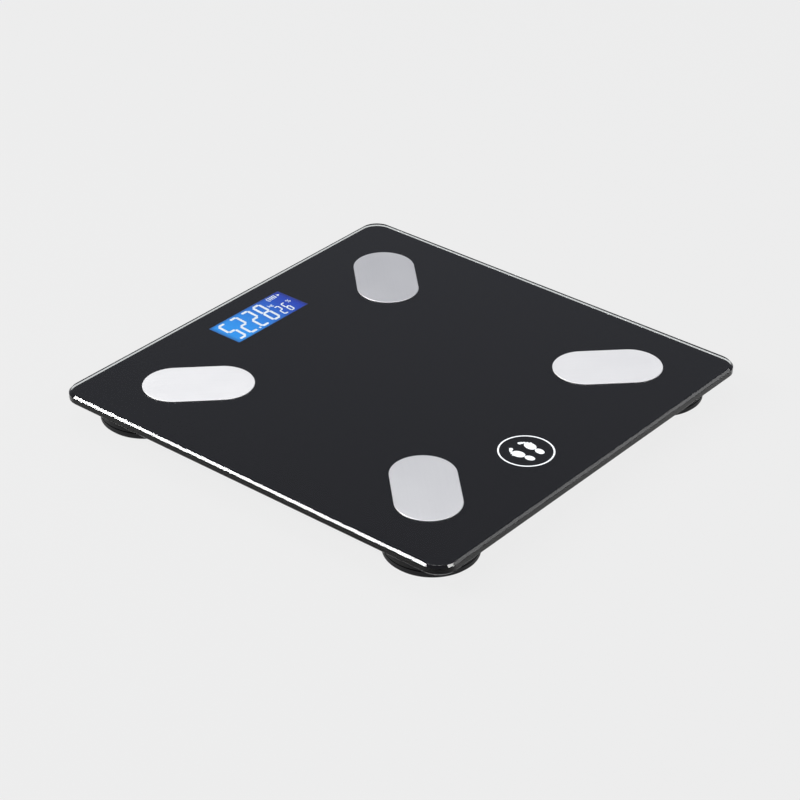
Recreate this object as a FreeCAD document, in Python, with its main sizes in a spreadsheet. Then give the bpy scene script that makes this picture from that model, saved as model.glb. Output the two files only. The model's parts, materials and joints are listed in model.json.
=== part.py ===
"""A square glass bathroom scale with four steel electrodes, a lit display and four load-cell feet.

The frame: +X to the right and +Y away from the person who reads the display, +Z up, and the
origin on the floor under the middle of the platform. Lengths are millimetres.
"""

import FreeCAD, Part
import math
import os
import re

import Sketcher

# ---------------------------------------------------------------------------- driving sizes

SIZES = {
    # the glass platform and the black film that is bonded under it
    "plate_side": 300.0,
    "plate_thick": 6.0,
    "plate_corner": 13.0,
    "plate_chamfer": 1.5,
    "film_thick": 0.2,
    "film_margin": 0.6,
    "window_long": 66.0,
    "window_wide": 26.6,
    "window_margin": 14.9,
    # the electrodes and the studs that carry them through the glass
    "electrode_long": 69.3,
    "electrode_wide": 40.4,
    "electrode_thick": 0.5,
    "electrode_round": 0.3,
    "electrode_inset": 60.0,
    "tape_thick": 0.1,
    "tape_margin": 1.2,
    "stud_diameter": 3.0,
    "stud_hole": 5.0,
    "nut_flats": 5.5,
    "nut_thick": 1.8,
    "terminal_thick": 0.4,
    # the feet: a fixed cup, a load cell in it, and a pad with a rubber sole that carries it
    "foot_diameter": 57.0,
    "foot_margin": 8.5,
    "cup_wall": 1.8,
    "cup_roof": 2.0,
    "foot_gap": 0.8,
    "pad_low": 1.0,
    "pad_thick": 3.2,
    "pad_round": 0.6,
    "sole_margin": 1.3,
    "sole_seat": 0.6,
    "post_diameter": 8.0,
    "ledge_rise": 1.8,
    "ledge_thick": 1.0,
    "ledge_reach": 1.2,
    "hook_wide": 6.0,
    "hook_thick": 1.2,
    "hook_nose": 1.3,
    "cell_side": 34.0,
    "cell_thick": 1.6,
    "cell_standoff": 2.0,
    "tongue_wide": 14.0,
    "tongue_slot": 2.0,
    "cell_hole_pitch": 27.0,
    "gauge_thick": 1.2,
    "screw_diameter": 2.2,
    "screw_head": 4.6,
    # the housing under the middle of the glass, and the channels that join it to the feet
    "ground_gap": 2.3,
    "floor_thick": 2.0,
    "housing_wall": 1.6,
    "housing_corner": 6.0,
    "housing_round": 1.6,
    "lane_wide": 8.9,
    "channel_wide": 16.0,
    "channel_wall": 1.4,
    "channel_floor": 1.2,
    "channel_drop": 6.2,
    # two cells of the AAA size, their bay and its door
    "battery_diameter": 10.5,
    "battery_long": 44.5,
    "battery_play": 0.3,
    "battery_headroom": 0.5,
    "battery_side_play": 0.7,
    "spring_room": 6.5,
    "contact_thick": 0.4,
    "door_thick": 1.2,
    "door_lap": 1.2,
    "door_play": 0.3,
    "tongue_reach": 1.4,
    # the display
    "lcd_overlap": 1.6,
    "lcd_thick": 2.2,
    "backlight_thick": 2.4,
    "holder_wall": 1.6,
    # the circuit board, its switch and the button that works it
    "board_thick": 1.6,
    "board_apron": 39.0,
    "switch_side": 6.0,
    "button_diameter": 9.0,
    "button_step": 14.0,
    "button_side": 22.0,
    "button_travel": 0.4,
    # wires
    "lead_diameter": 1.1,
    "lead_pitch": 1.25,
    "lead_bend": 8.0,
    # a fit that slides, and a fit for a screw
    "slide_fit": 0.2,
    "screw_fit": 0.05,
}

# Levels and places that follow from the sizes above.
DERIVED = {
    "door_high": "ground_gap + door_thick",
    "film_low": "door_high + battery_play + battery_diameter + battery_headroom",
    "glass_low": "film_low + film_thick",
    "deck": "glass_low + plate_thick",
    "electrode_low": "deck + tape_thick",
    "window_mid": "plate_side / 2 - window_margin - window_wide / 2",
    "electrode_mid": "plate_side / 2 - electrode_inset",
    "foot_radius": "foot_diameter / 2",
    "foot_mid": "plate_side / 2 - foot_margin - foot_radius",
    "stud_mid": "foot_mid - (foot_radius + 5) / sqrt(2)",
    "cup_bore": "foot_radius - cup_wall",
    "cup_ceiling": "film_low - cup_roof",
    "cell_high": "cup_ceiling - cell_standoff",
    "cell_low": "cell_high - cell_thick",
    "pad_high": "pad_low + pad_thick",
    "cup_rim": "pad_high + foot_gap",
    "ledge_low": "cup_rim + ledge_rise",
    "ledge_high": "ledge_low + ledge_thick",
    "ledge_bore": "cup_bore - ledge_reach",
    "sole_radius": "foot_radius - sole_margin",
    "floor_high": "ground_gap + floor_thick",
    "lcd_long": "window_long + 2 * lcd_overlap",
    "lcd_wide": "window_wide + 2 * lcd_overlap",
    "holder_long": "lcd_long + 2 * slide_fit + 2 * holder_wall",
    "holder_wide": "lcd_wide + 2 * slide_fit + 2 * holder_wall",
    "holder_play": "0.3 * (housing_corner - housing_wall) + slide_fit",
    "bay_half_long": "(battery_long + spring_room) / 2",
    "battery_pitch": "battery_diameter + battery_side_play",
    "bay_half_wide": "battery_pitch + slide_fit",
    "door_half_long": "bay_half_long + door_lap",
    "door_half_wide": "bay_half_wide + door_lap",
    "block_half_long": "door_half_long + door_play + 1.5",
    "block_half_wide": "door_half_wide + door_play + tongue_reach + 1.2",
    "room_half": "max(holder_long / 2 + holder_play; block_half_long + lane_wide)",
    "housing_half": "room_half + housing_wall",
    "room_back": "window_mid + holder_wide / 2 + holder_play",
    "housing_back": "room_back + housing_wall",
    "housing_front": "-(housing_half + channel_wide / sqrt(2) + 2)",
    "lcd_low": "film_low - lcd_thick",
    "board_high": "lcd_low - backlight_thick - slide_fit",
    "board_low": "board_high - board_thick",
    "board_front": "window_mid - holder_wide / 2 - board_apron",
    "board_back": "room_back - 2 * slide_fit",
    "board_half": "room_half - 2 * slide_fit",
    "switch_low": "floor_high + 1.5",
    "button_mid": "board_front + button_step",
    "socket_back": "board_front + 5",
    "side_entry": "board_front + 10",
    "front_lane": "room_half - 3.2",
    "battery_lane": "block_half_long + 2",
    "lead_level": "cell_high + screw_fit + lead_diameter / 2",
    "electrode_lead_level": "film_low - screw_fit - lead_diameter / 2",
    "battery_lead_level": "film_low - 2",
    "channel_low": "film_low - channel_drop",
}

CORNERS = {
    "front_left": (-1, -1),
    "front_right": (1, -1),
    "back_left": (-1, 1),
    "back_right": (1, 1),
}

doc = FreeCAD.newDocument("bathroom_scale")
sheet = doc.addObject("Spreadsheet::Sheet", "Sizes")
for row, (alias, value) in enumerate(SIZES.items(), start=1):
    sheet.set(f"A{row}", alias)
    sheet.set(f"B{row}", str(value))
    sheet.setAlias(f"B{row}", alias)
doc.recompute()

subparts = []

# ---------------------------------------------------------------------------- small helpers


def ex(text):
    """The expression with each derived name written out and each size named as its cell."""

    def named(match):
        word = match.group(0)
        if word in DERIVED:
            return "(" + ex(DERIVED[word]) + ")"
        return "Sizes." + word if word in SIZES else word

    return re.sub(r"[a-z_]+", named, str(text))


def num(text):
    """The value of an expression now, in millimetres."""
    return float(sheet.evalExpression(ex(text)))


def bind(obj, **exprs):
    """Binds properties to expressions. Double underscores stand for the dots of a path."""
    for path, text in exprs.items():
        obj.setExpression(path.replace("__", "."), ex(text))
    return obj


def place(obj, x="0", y="0", z="0", turn=0.0):
    """Puts obj at an expression-bound place, turned about Z by degrees."""
    rotation = FreeCAD.Rotation(FreeCAD.Vector(0, 0, 1), turn)
    obj.Placement = FreeCAD.Placement(FreeCAD.Vector(), rotation)
    return bind(obj, Placement__Base__x=x, Placement__Base__y=y, Placement__Base__z=z)


def at_corner(obj, corner, distance):
    """Puts obj, built round its own origin with +X outwards, on a corner's diagonal."""
    sx, sy = CORNERS[corner]
    turn = math.degrees(math.atan2(sy, sx))
    return place(obj, x=f"{sx} * ({distance})", y=f"{sy} * ({distance})", turn=turn)


def subpart(obj, label):
    """Registers obj as a finished piece, under the name of its file."""
    obj.Label = label
    subparts.append(obj)
    return obj


def box(name, x, y, z, long, wide, high):
    """A box centred on x and y, with its lowest face at z."""
    made = doc.addObject("Part::Box", name)
    bind(made, Length=long, Width=wide, Height=high)
    return place(made, x=f"({x}) - ({long}) / 2", y=f"({y}) - ({wide}) / 2", z=z)


def rod(name, radius, x, y, low, high):
    """An upright cylinder between two levels."""
    made = doc.addObject("Part::Cylinder", name)
    bind(made, Radius=radius, Height=f"({high}) - ({low})")
    return place(made, x=x, y=y, z=low)


def fuse(name, *pieces):
    made = doc.addObject("Part::MultiFuse", name)
    made.Shapes = list(pieces)
    return made


def cut(name, base, *tools):
    """base less the tools."""
    tool = tools[0] if len(tools) == 1 else fuse(name + "_tools", *tools)
    made = doc.addObject("Part::Cut", name)
    made.Base = base
    made.Tool = tool
    return made


def group(label, pieces):
    """Separate solids that share one node."""
    made = doc.addObject("Part::Compound", label)
    made.Links = list(pieces)
    return subpart(made, label)


# ---------------------------------------------------------------------------- sketch helpers


def new_body(label):
    return doc.addObject("PartDesign::Body", label)


def new_sketch(body, name, level="0"):
    """A sketch on the body's own XY plane, raised to a level."""
    sketch = body.newObject("Sketcher::SketchObject", name)
    plane = [f for f in body.Origin.OriginFeatures if f.Role == "XY_Plane"][0]
    sketch.AttachmentSupport = (plane, [""])
    sketch.MapMode = "FlatFace"
    bind(sketch, AttachmentOffset__Base__z=level)
    return sketch


def dimension(sketch, kind, where, text):
    index = sketch.addConstraint(Sketcher.Constraint(kind, *where, num(text)))
    sketch.setExpression(f"Constraints[{index}]", ex(text))


def pin(sketch, geometry, point, x=None, y=None):
    """Fixes a point's distances from the sketch's origin."""
    if x is not None:
        dimension(sketch, "DistanceX", (-1, 1, geometry, point), x)
    if y is not None:
        dimension(sketch, "DistanceY", (-1, 1, geometry, point), y)


def draw_circle(sketch, radius, x="0", y="0"):
    centre = FreeCAD.Vector(num(x), num(y), 0)
    made = sketch.addGeometry(Part.Circle(centre, FreeCAD.Vector(0, 0, 1), num(radius)))
    dimension(sketch, "Radius", (made,), radius)
    pin(sketch, made, 3, x, y)


def draw_rectangle(sketch, half_x, half_y, x="0", y="0"):
    hx, hy, cx, cy = num(half_x), num(half_y), num(x), num(y)
    corners = [
        FreeCAD.Vector(cx + a * hx, cy + b * hy, 0) for a, b in ((-1, -1), (1, -1), (1, 1), (-1, 1))
    ]
    sides = [
        sketch.addGeometry(Part.LineSegment(corners[i], corners[(i + 1) % 4])) for i in range(4)
    ]
    for i in range(4):
        sketch.addConstraint(Sketcher.Constraint("Coincident", sides[i], 2, sides[(i + 1) % 4], 1))
        kind = "Horizontal" if i % 2 == 0 else "Vertical"
        sketch.addConstraint(Sketcher.Constraint(kind, sides[i]))
    pin(sketch, sides[0], 1, f"({x}) - ({half_x})", f"({y}) - ({half_y})")
    pin(sketch, sides[2], 1, f"({x}) + ({half_x})", f"({y}) + ({half_y})")


def draw_rounded(sketch, half_x, half_y, radius, x="0", y="0"):
    """A rectangle with round corners: four sides, then four arcs."""
    hx, hy, cx, cy, r = num(half_x), num(half_y), num(x), num(y), num(radius)
    signs = ((-1, -1), (1, -1), (1, 1), (-1, 1))
    centres = [FreeCAD.Vector(cx + a * (hx - r), cy + b * (hy - r), 0) for a, b in signs]
    outwards = [FreeCAD.Vector(0, -r, 0), FreeCAD.Vector(r, 0, 0)]
    outwards += [FreeCAD.Vector(0, r, 0), FreeCAD.Vector(-r, 0, 0)]
    sides, arcs = [], []
    for i in range(4):
        line = Part.LineSegment(centres[i] + outwards[i], centres[(i + 1) % 4] + outwards[i])
        sides.append(sketch.addGeometry(line))
    for i in range(4):
        start = math.pi + i * math.pi / 2
        circle = Part.Circle(centres[i], FreeCAD.Vector(0, 0, 1), r)
        arcs.append(sketch.addGeometry(Part.ArcOfCircle(circle, start, start + math.pi / 2)))
    for i in range(4):
        joint = Sketcher.Constraint("Tangent", arcs[i], 2, sides[i], 1)
        sketch.addConstraint(joint)
        joint = Sketcher.Constraint("Tangent", sides[i], 2, arcs[(i + 1) % 4], 1)
        sketch.addConstraint(joint)
        kind = "Horizontal" if i % 2 == 0 else "Vertical"
        sketch.addConstraint(Sketcher.Constraint(kind, sides[i]))
    for i in range(3):
        sketch.addConstraint(Sketcher.Constraint("Equal", arcs[i], arcs[i + 1]))
    dimension(sketch, "Radius", (arcs[0],), radius)
    pin(sketch, sides[0], 1, y=f"({y}) - ({half_y})")
    pin(sketch, sides[1], 1, x=f"({x}) + ({half_x})")
    pin(sketch, sides[2], 1, y=f"({y}) + ({half_y})")
    pin(sketch, sides[3], 1, x=f"({x}) - ({half_x})")


def draw_slot(sketch, half_long, half_wide):
    """A round-ended slot along X, centred on the sketch's origin."""
    r = num(half_wide)
    reach = num(half_long) - r
    left, right = FreeCAD.Vector(-reach, 0, 0), FreeCAD.Vector(reach, 0, 0)
    up, z_axis = FreeCAD.Vector(0, r, 0), FreeCAD.Vector(0, 0, 1)
    low = sketch.addGeometry(Part.LineSegment(left - up, right - up))
    east = Part.ArcOfCircle(Part.Circle(right, z_axis, r), -math.pi / 2, math.pi / 2)
    east = sketch.addGeometry(east)
    high = sketch.addGeometry(Part.LineSegment(right + up, left + up))
    west = Part.ArcOfCircle(Part.Circle(left, z_axis, r), math.pi / 2, 3 * math.pi / 2)
    west = sketch.addGeometry(west)
    chain = (low, east, high, west)
    for i in range(4):
        joint = Sketcher.Constraint("Tangent", chain[i], 2, chain[(i + 1) % 4], 1)
        sketch.addConstraint(joint)
    sketch.addConstraint(Sketcher.Constraint("Equal", east, west))
    dimension(sketch, "Radius", (east,), half_wide)
    pin(sketch, east, 3, f"({half_long}) - ({half_wide})", "0")
    pin(sketch, west, 3, f"({half_wide}) - ({half_long})", "0")


def pad(body, sketch, height):
    made = body.newObject("PartDesign::Pad", sketch.Name + "_pad")
    made.Profile = sketch
    bind(made, Length=height)
    return made


def pocket(body, sketch, depth, upwards=False):
    """Cuts depth from the sketch's level, downwards or upwards, and makes sure it cut."""
    doc.recompute()
    before = body.Tip.Shape.Volume
    made = body.newObject("PartDesign::Pocket", sketch.Name + "_pocket")
    made.Profile = sketch
    made.Reversed = upwards
    bind(made, Length=depth)
    doc.recompute()
    if not before - made.Shape.Volume > 1e-3:
        raise RuntimeError(f"{made.Name} cuts nothing")
    return made


def outline_edges(shape, level, longest_reach):
    """The names of a level's edges that lie further out than a given reach from the axis."""
    found = []
    for i, edge in enumerate(shape.Edges, start=1):
        ends = [edge.valueAt(edge.FirstParameter), edge.valueAt(edge.LastParameter)]
        level_ok = all(abs(p.z - level) < 1e-4 for p in ends)
        if level_ok and math.hypot(ends[0].x, ends[0].y) >= longest_reach:
            found.append(f"Edge{i}")
    return found


def dress(body, kind, level, size, longest_reach=0.0):
    """A fillet or chamfer round the outline at a level."""
    doc.recompute()
    base = body.Tip
    made = body.newObject("PartDesign::" + kind, f"{body.Name}_{kind.lower()}")
    made.Base = (base, outline_edges(base.Shape, num(level), longest_reach))
    bind(made, **{"Radius" if kind == "Fillet" else "Size": size})
    return made


# ---------------------------------------------------------------------------- the platform


def glass_platform():
    body = new_body("glass_platform")
    outline = new_sketch(body, "glass_outline", "glass_low")
    draw_rounded(outline, "plate_side / 2", "plate_side / 2", "plate_corner")
    pad(body, outline, "plate_thick")
    dress(body, "Chamfer", "deck", "plate_chamfer")
    body.Tip.Label = "glass_top_chamfer"
    dress(body, "Chamfer", "glass_low", "plate_chamfer")
    holes = new_sketch(body, "glass_holes", "deck")
    for sx, sy in CORNERS.values():
        draw_circle(holes, "stud_hole / 2", f"{sx} * stud_mid", f"{sy} * stud_mid")
    pocket(body, holes, "plate_thick")
    subpart(body, "glass_platform")


def black_film():
    """The opaque film under the glass, with the display's window and the studs' holes."""
    body = new_body("black_film")
    edge = "plate_chamfer + film_margin"
    outline = new_sketch(body, "film_outline", "film_low")
    half = f"plate_side / 2 - ({edge})"
    draw_rounded(outline, half, half, f"plate_corner - ({edge})")
    draw_rectangle(outline, "window_long / 2", "window_wide / 2", y="window_mid")
    for sx, sy in CORNERS.values():
        draw_circle(outline, "stud_hole / 2", f"{sx} * stud_mid", f"{sy} * stud_mid")
    pad(body, outline, "film_thick")
    subpart(body, "black_film")


def electrode(corner):
    """A round-ended steel plate that points at the platform's middle."""
    body = new_body("electrode_" + corner)
    outline = new_sketch(body, f"electrode_{corner}_outline", "electrode_low")
    draw_slot(outline, "electrode_long / 2", "electrode_wide / 2")
    pad(body, outline, "electrode_thick")
    dress(body, "Fillet", "electrode_low + electrode_thick", "electrode_round")
    subpart(at_corner(body, corner, "electrode_mid"), "electrode_" + corner)


def electrode_tape(corner):
    body = new_body("tape_" + corner)
    outline = new_sketch(body, f"tape_{corner}_outline", "deck")
    draw_slot(outline, "electrode_long / 2 - tape_margin", "electrode_wide / 2 - tape_margin")
    draw_circle(outline, "stud_hole / 2", "(stud_mid - electrode_mid) * sqrt(2)")
    pad(body, outline, "tape_thick")
    return at_corner(body, corner, "electrode_mid")


def electrode_stud(corner):
    low = "film_low - terminal_thick - nut_thick - 0.3"
    made = rod("stud_" + corner, "stud_diameter / 2", "0", "0", low, "electrode_low")
    return at_stud(made, corner, low)


def at_stud(obj, corner, level="0"):
    """Puts obj, built round a stud's axis with +X outwards, at that corner's stud."""
    at_corner(obj, corner, "stud_mid")
    return bind(obj, Placement__Base__z=level)


def electrode_nut(corner):
    nut = doc.addObject("Part::Prism", "nut_blank_" + corner)
    nut.Polygon = 6
    bind(nut, Circumradius="nut_flats / sqrt(3)", Height="nut_thick")
    place(nut, z="film_low - terminal_thick - nut_thick")
    bore = rod(
        "nut_bore_" + corner,
        "stud_diameter / 2 + screw_fit",
        "0",
        "0",
        "film_low - terminal_thick - nut_thick - 1",
        "film_low",
    )
    return at_stud(cut("nut_" + corner, nut, bore), corner)


def ring_terminal(corner):
    """A ring under the film round the stud, with a neck and a crimped barrel."""
    low = "film_low - terminal_thick"
    ring = rod("terminal_ring_" + corner, "nut_flats / 2 + 0.5", "0", "0", low, "film_low")
    neck = box("terminal_neck_" + corner, "-3.6", "0", low, "2.4", "1.8", "terminal_thick")
    barrel = doc.addObject("Part::Cylinder", "terminal_barrel_" + corner)
    bind(barrel, Radius="lead_diameter / 2", Height="3.4")
    barrel.Placement = FreeCAD.Placement(
        FreeCAD.Vector(), FreeCAD.Rotation(FreeCAD.Vector(0, 1, 0), -90)
    )
    bind(barrel, Placement__Base__x="-4.1", Placement__Base__z="electrode_lead_level")
    body = fuse("terminal_body_" + corner, ring, neck, barrel)
    bore = rod(
        "terminal_bore_" + corner,
        "stud_diameter / 2 + screw_fit",
        "0",
        "0",
        "film_low - 2",
        "film_low + 1",
    )
    return at_stud(cut("terminal_" + corner, body, bore), corner)


# ---------------------------------------------------------------------------- a foot


def cell_bosses(sketch, radius):
    """Four circles at the load cell's holes."""
    half = "cell_hole_pitch / 2"
    for sx, sy in CORNERS.values():
        draw_circle(sketch, radius, f"{sx} * ({half})", f"{sy} * ({half})")


def foot_housing(corner):
    """The fixed cup: a roof against the film, a wall with a snap ledge, and four bosses."""
    name = "foot_housing_" + corner
    body = new_body(name)
    outline = new_sketch(body, name + "_outline", "cup_rim")
    draw_circle(outline, "foot_radius")
    pad(body, outline, "film_low - cup_rim")
    bore = new_sketch(body, name + "_bore", "ledge_high")
    draw_circle(bore, "cup_bore")
    pocket(body, bore, "cup_ceiling - ledge_high", upwards=True)
    mouth = new_sketch(body, name + "_mouth", "cup_rim")
    draw_circle(mouth, "ledge_bore")
    pocket(body, mouth, "ledge_high - cup_rim", upwards=True)
    skirt = new_sketch(body, name + "_skirt", "cup_rim")
    draw_circle(skirt, "cup_bore")
    pocket(body, skirt, "ledge_low - cup_rim", upwards=True)
    bosses = new_sketch(body, name + "_bosses", "cell_high")
    cell_bosses(bosses, "screw_diameter / 2 + 1.5")
    pad(body, bosses, "cell_standoff")
    pilots = new_sketch(body, name + "_pilots", "cell_high")
    cell_bosses(pilots, "screw_diameter / 2 + screw_fit")
    pocket(body, pilots, "cell_standoff + cup_roof - 0.6", upwards=True)
    notch = new_sketch(body, name + "_notch", "lead_level - lead_diameter")
    draw_rectangle(notch, "cup_wall * 2", "lead_pitch + lead_diameter * 2", x="-foot_radius")
    pocket(body, notch, "cup_ceiling - lead_level + lead_diameter", upwards=True)
    subpart(at_corner(body, corner, "foot_mid"), name)


def load_cell(corner):
    """A stamped steel square with a free tongue in its middle and four screw holes."""
    name = "load_cell_" + corner
    body = new_body(name)
    outline = new_sketch(body, name + "_outline", "cell_low")
    draw_rounded(outline, "cell_side / 2", "cell_side / 2", "3")
    cell_bosses(outline, "screw_diameter / 2 + 0.3")
    pad(body, outline, "cell_thick")
    slots = new_sketch(body, name + "_slots", "cell_high")
    half = "(tongue_wide / 2 + tongue_slot / 2)"
    for side in (-1, 1):
        draw_rectangle(slots, "cell_side * 0.3", "tongue_slot / 2", y=f"{side} * {half}")
    pocket(body, slots, "cell_thick")
    end = new_sketch(body, name + "_slot_end", "cell_high")
    reach = "cell_side * 0.3 + tongue_slot / 2"
    draw_rectangle(end, "tongue_slot / 2", "tongue_wide / 2 + tongue_slot", x=reach)
    pocket(body, end, "cell_thick")
    subpart(at_corner(body, corner, "foot_mid"), name)


def strain_gauge(corner):
    """The gauge and its silicone cover, over the tongue's root."""
    made = box("gauge_" + corner, "-3.5", "0", "cell_high", "7", "5", "gauge_thick")
    at_corner(made, corner, "foot_mid")
    sx, sy = CORNERS[corner]
    # The box grows from its own corner, so its place is turned by hand into the diagonal's frame.
    along, across = "7", "2.5"
    x = f"{sx} * foot_mid - ({sx} * {along} - {sy} * {across}) / sqrt(2)"
    y = f"{sy} * foot_mid - ({sy} * {along} + {sx} * {across}) / sqrt(2)"
    return bind(made, Placement__Base__x=x, Placement__Base__y=y, Placement__Base__z="cell_high")


def cell_screw(corner, side):
    """A pan-head screw from under the cell into a boss. side picks one of two diagonal holes."""
    name = f"cell_screw_{corner}_{'out' if side > 0 else 'in'}"
    half = f"{side} * cell_hole_pitch / 2"
    head = rod(name + "_head", "screw_head / 2", half, half, "cell_low - 1.4", "cell_low")
    shank_high = "cup_ceiling + cup_roof - 1"
    shank = rod(name + "_shank", "screw_diameter / 2", half, half, "cell_low - 1", shank_high)
    return at_corner(fuse(name, head, shank), corner, "foot_mid")


def foot_pad(corner):
    """The pad that moves: a disc, a post under the load cell and three snap hooks."""
    name = "foot_pad_" + corner
    body = new_body(name)
    outline = new_sketch(body, name + "_outline", "pad_low")
    draw_circle(outline, "foot_radius")
    pad(body, outline, "pad_thick")
    dress(body, "Fillet", "pad_low", "pad_round")
    seat = new_sketch(body, name + "_seat", "pad_low")
    draw_circle(seat, "sole_radius")
    pocket(body, seat, "sole_seat", upwards=True)
    post = new_sketch(body, name + "_post", "pad_high")
    draw_circle(post, "post_diameter / 2")
    pad(body, post, "cell_low - pad_high")
    arm_out = "ledge_bore - slide_fit"
    arm = new_sketch(body, name + "_hook_arms", "pad_high")
    nose = new_sketch(body, name + "_hook_noses", "ledge_high + slide_fit / 2")
    for step in range(3):
        angle = 120 * step
        turned_bar(arm, angle, f"{arm_out} - hook_thick", arm_out, "hook_wide / 2")
        turned_bar(nose, angle, f"{arm_out} - hook_thick", "cup_bore - slide_fit", "hook_wide / 2")
    pad(body, arm, "ledge_high + slide_fit / 2 - pad_high")
    pad(body, nose, "hook_nose")
    subpart(at_corner(body, corner, "foot_mid"), name)


def turned_bar(sketch, angle, near, far, half):
    """A rectangle between two distances from the origin, turned about it by an angle."""
    c, s = math.cos(math.radians(angle)), math.sin(math.radians(angle))
    points = [(near, f"-({half})"), (far, f"-({half})"), (far, half), (near, half)]
    turned = [
        (f"({c}) * ({u}) - ({s}) * ({v})", f"({s}) * ({u}) + ({c}) * ({v})") for u, v in points
    ]
    vectors = [FreeCAD.Vector(num(x), num(y), 0) for x, y in turned]
    sides = [
        sketch.addGeometry(Part.LineSegment(vectors[i], vectors[(i + 1) % 4])) for i in range(4)
    ]
    for i in range(4):
        sketch.addConstraint(Sketcher.Constraint("Coincident", sides[i], 2, sides[(i + 1) % 4], 1))
        pin(sketch, sides[i], 1, *turned[i])


def rubber_sole(corner):
    """A soft disc in the pad's seat, with three grip grooves round its middle."""
    name = "rubber_sole_" + corner
    body = new_body(name)
    outline = new_sketch(body, name + "_outline", "0")
    draw_circle(outline, "sole_radius - slide_fit / 2")
    pad(body, outline, "pad_low + sole_seat")
    grooves = new_sketch(body, name + "_grooves", "0")
    for share in (0.3, 0.55, 0.8):
        draw_circle(grooves, f"sole_radius * {share}")
        draw_circle(grooves, f"sole_radius * {share} + 1.4")
    pocket(body, grooves, "sole_seat", upwards=True)
    subpart(at_corner(body, corner, "foot_mid"), name)


# ---------------------------------------------------------------------------- the channels


def trough(name, x, y, along, across):
    """An open trough with its walls along one axis, as a blank less a hollow."""
    turned = across == "x"
    inner = "channel_wide - 2 * channel_wall"
    long, wide = (along, "channel_wide") if not turned else ("channel_wide", along)
    hollow_long, hollow_wide = (along, inner) if not turned else (inner, along)
    blank = box(name + "_blank", x, y, "channel_low", long, wide, "channel_drop")
    hollow_low = "channel_low + channel_floor"
    hollow = box(name + "_hollow", x, y, hollow_low, hollow_long, hollow_wide, "channel_drop")
    return cut(name + "_trough", blank, hollow)


def cup_tool(name, corner):
    """The space that a foot's cup takes out of a channel."""
    sx, sy = CORNERS[corner]
    x, y = f"{sx} * foot_mid", f"{sy} * foot_mid"
    return rod(name + "_cup", "foot_radius + slide_fit / 2", x, y, "0", "deck")


def front_channel(corner):
    """A trough under the film on a front corner's diagonal, from the housing to the foot."""
    name = "cable_channel_" + corner
    reach = "foot_mid * sqrt(2)"
    whole = trough(name, f"{reach} / 2", "0", reach, "y")
    at_corner(whole, corner, "0")
    side = "2 * housing_half + slide_fit"
    housing = box(name + "_housing", "0", "0", "0", side, "4 * housing_half", "deck")
    subpart(cut(name, whole, cup_tool(name, corner), housing), name)


def back_channel(corner):
    """Two troughs at a back corner: one from the foot on its diagonal, one to the housing."""
    sx, sy = CORNERS[corner]
    outer, inner = "cable_channel_" + corner, "cable_elbow_" + corner
    spare = "channel_wide / 2"
    reach = "(foot_mid - side_entry) * sqrt(2)"
    whole = trough(outer, f"({reach} - {spare}) / 2", "0", f"{reach} + {spare}", "y")
    at_corner(whole, corner, "side_entry")
    subpart(cut(outer, whole, cup_tool(outer, corner), mitre_tool(outer, corner, -1)), outer)
    wall = "housing_half + slide_fit / 2"
    run = f"side_entry + {spare} - ({wall})"
    middle = f"{sx} * (side_entry + {spare} + {wall}) / 2"
    straight = trough(inner, middle, f"{sy} * side_entry", run, "y")
    subpart(cut(inner, straight, mitre_tool(inner, corner, 1)), inner)


def mitre_tool(name, corner, side):
    """The space behind (-1) or beyond (1) the mitre between a back corner's two troughs."""
    sx, sy = CORNERS[corner]
    half_turn = (math.atan2(sy, sx) + math.atan2(0, sx)) / 2
    c, s = math.cos(half_turn), math.sin(half_turn)
    room = "3 * channel_wide"
    far = "0" if side > 0 else f"({room})"
    made = box(name + "_mitre", "0", "0", "0", room, room, "deck")
    x = f"{sx} * side_entry - ({c}) * {far} + ({s}) * ({room}) / 2"
    y = f"{sy} * side_entry - ({s}) * {far} - ({c}) * ({room}) / 2"
    return place(made, x=x, y=y, z="0", turn=math.degrees(half_turn))


# ---------------------------------------------------------------------------- the housing


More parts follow.
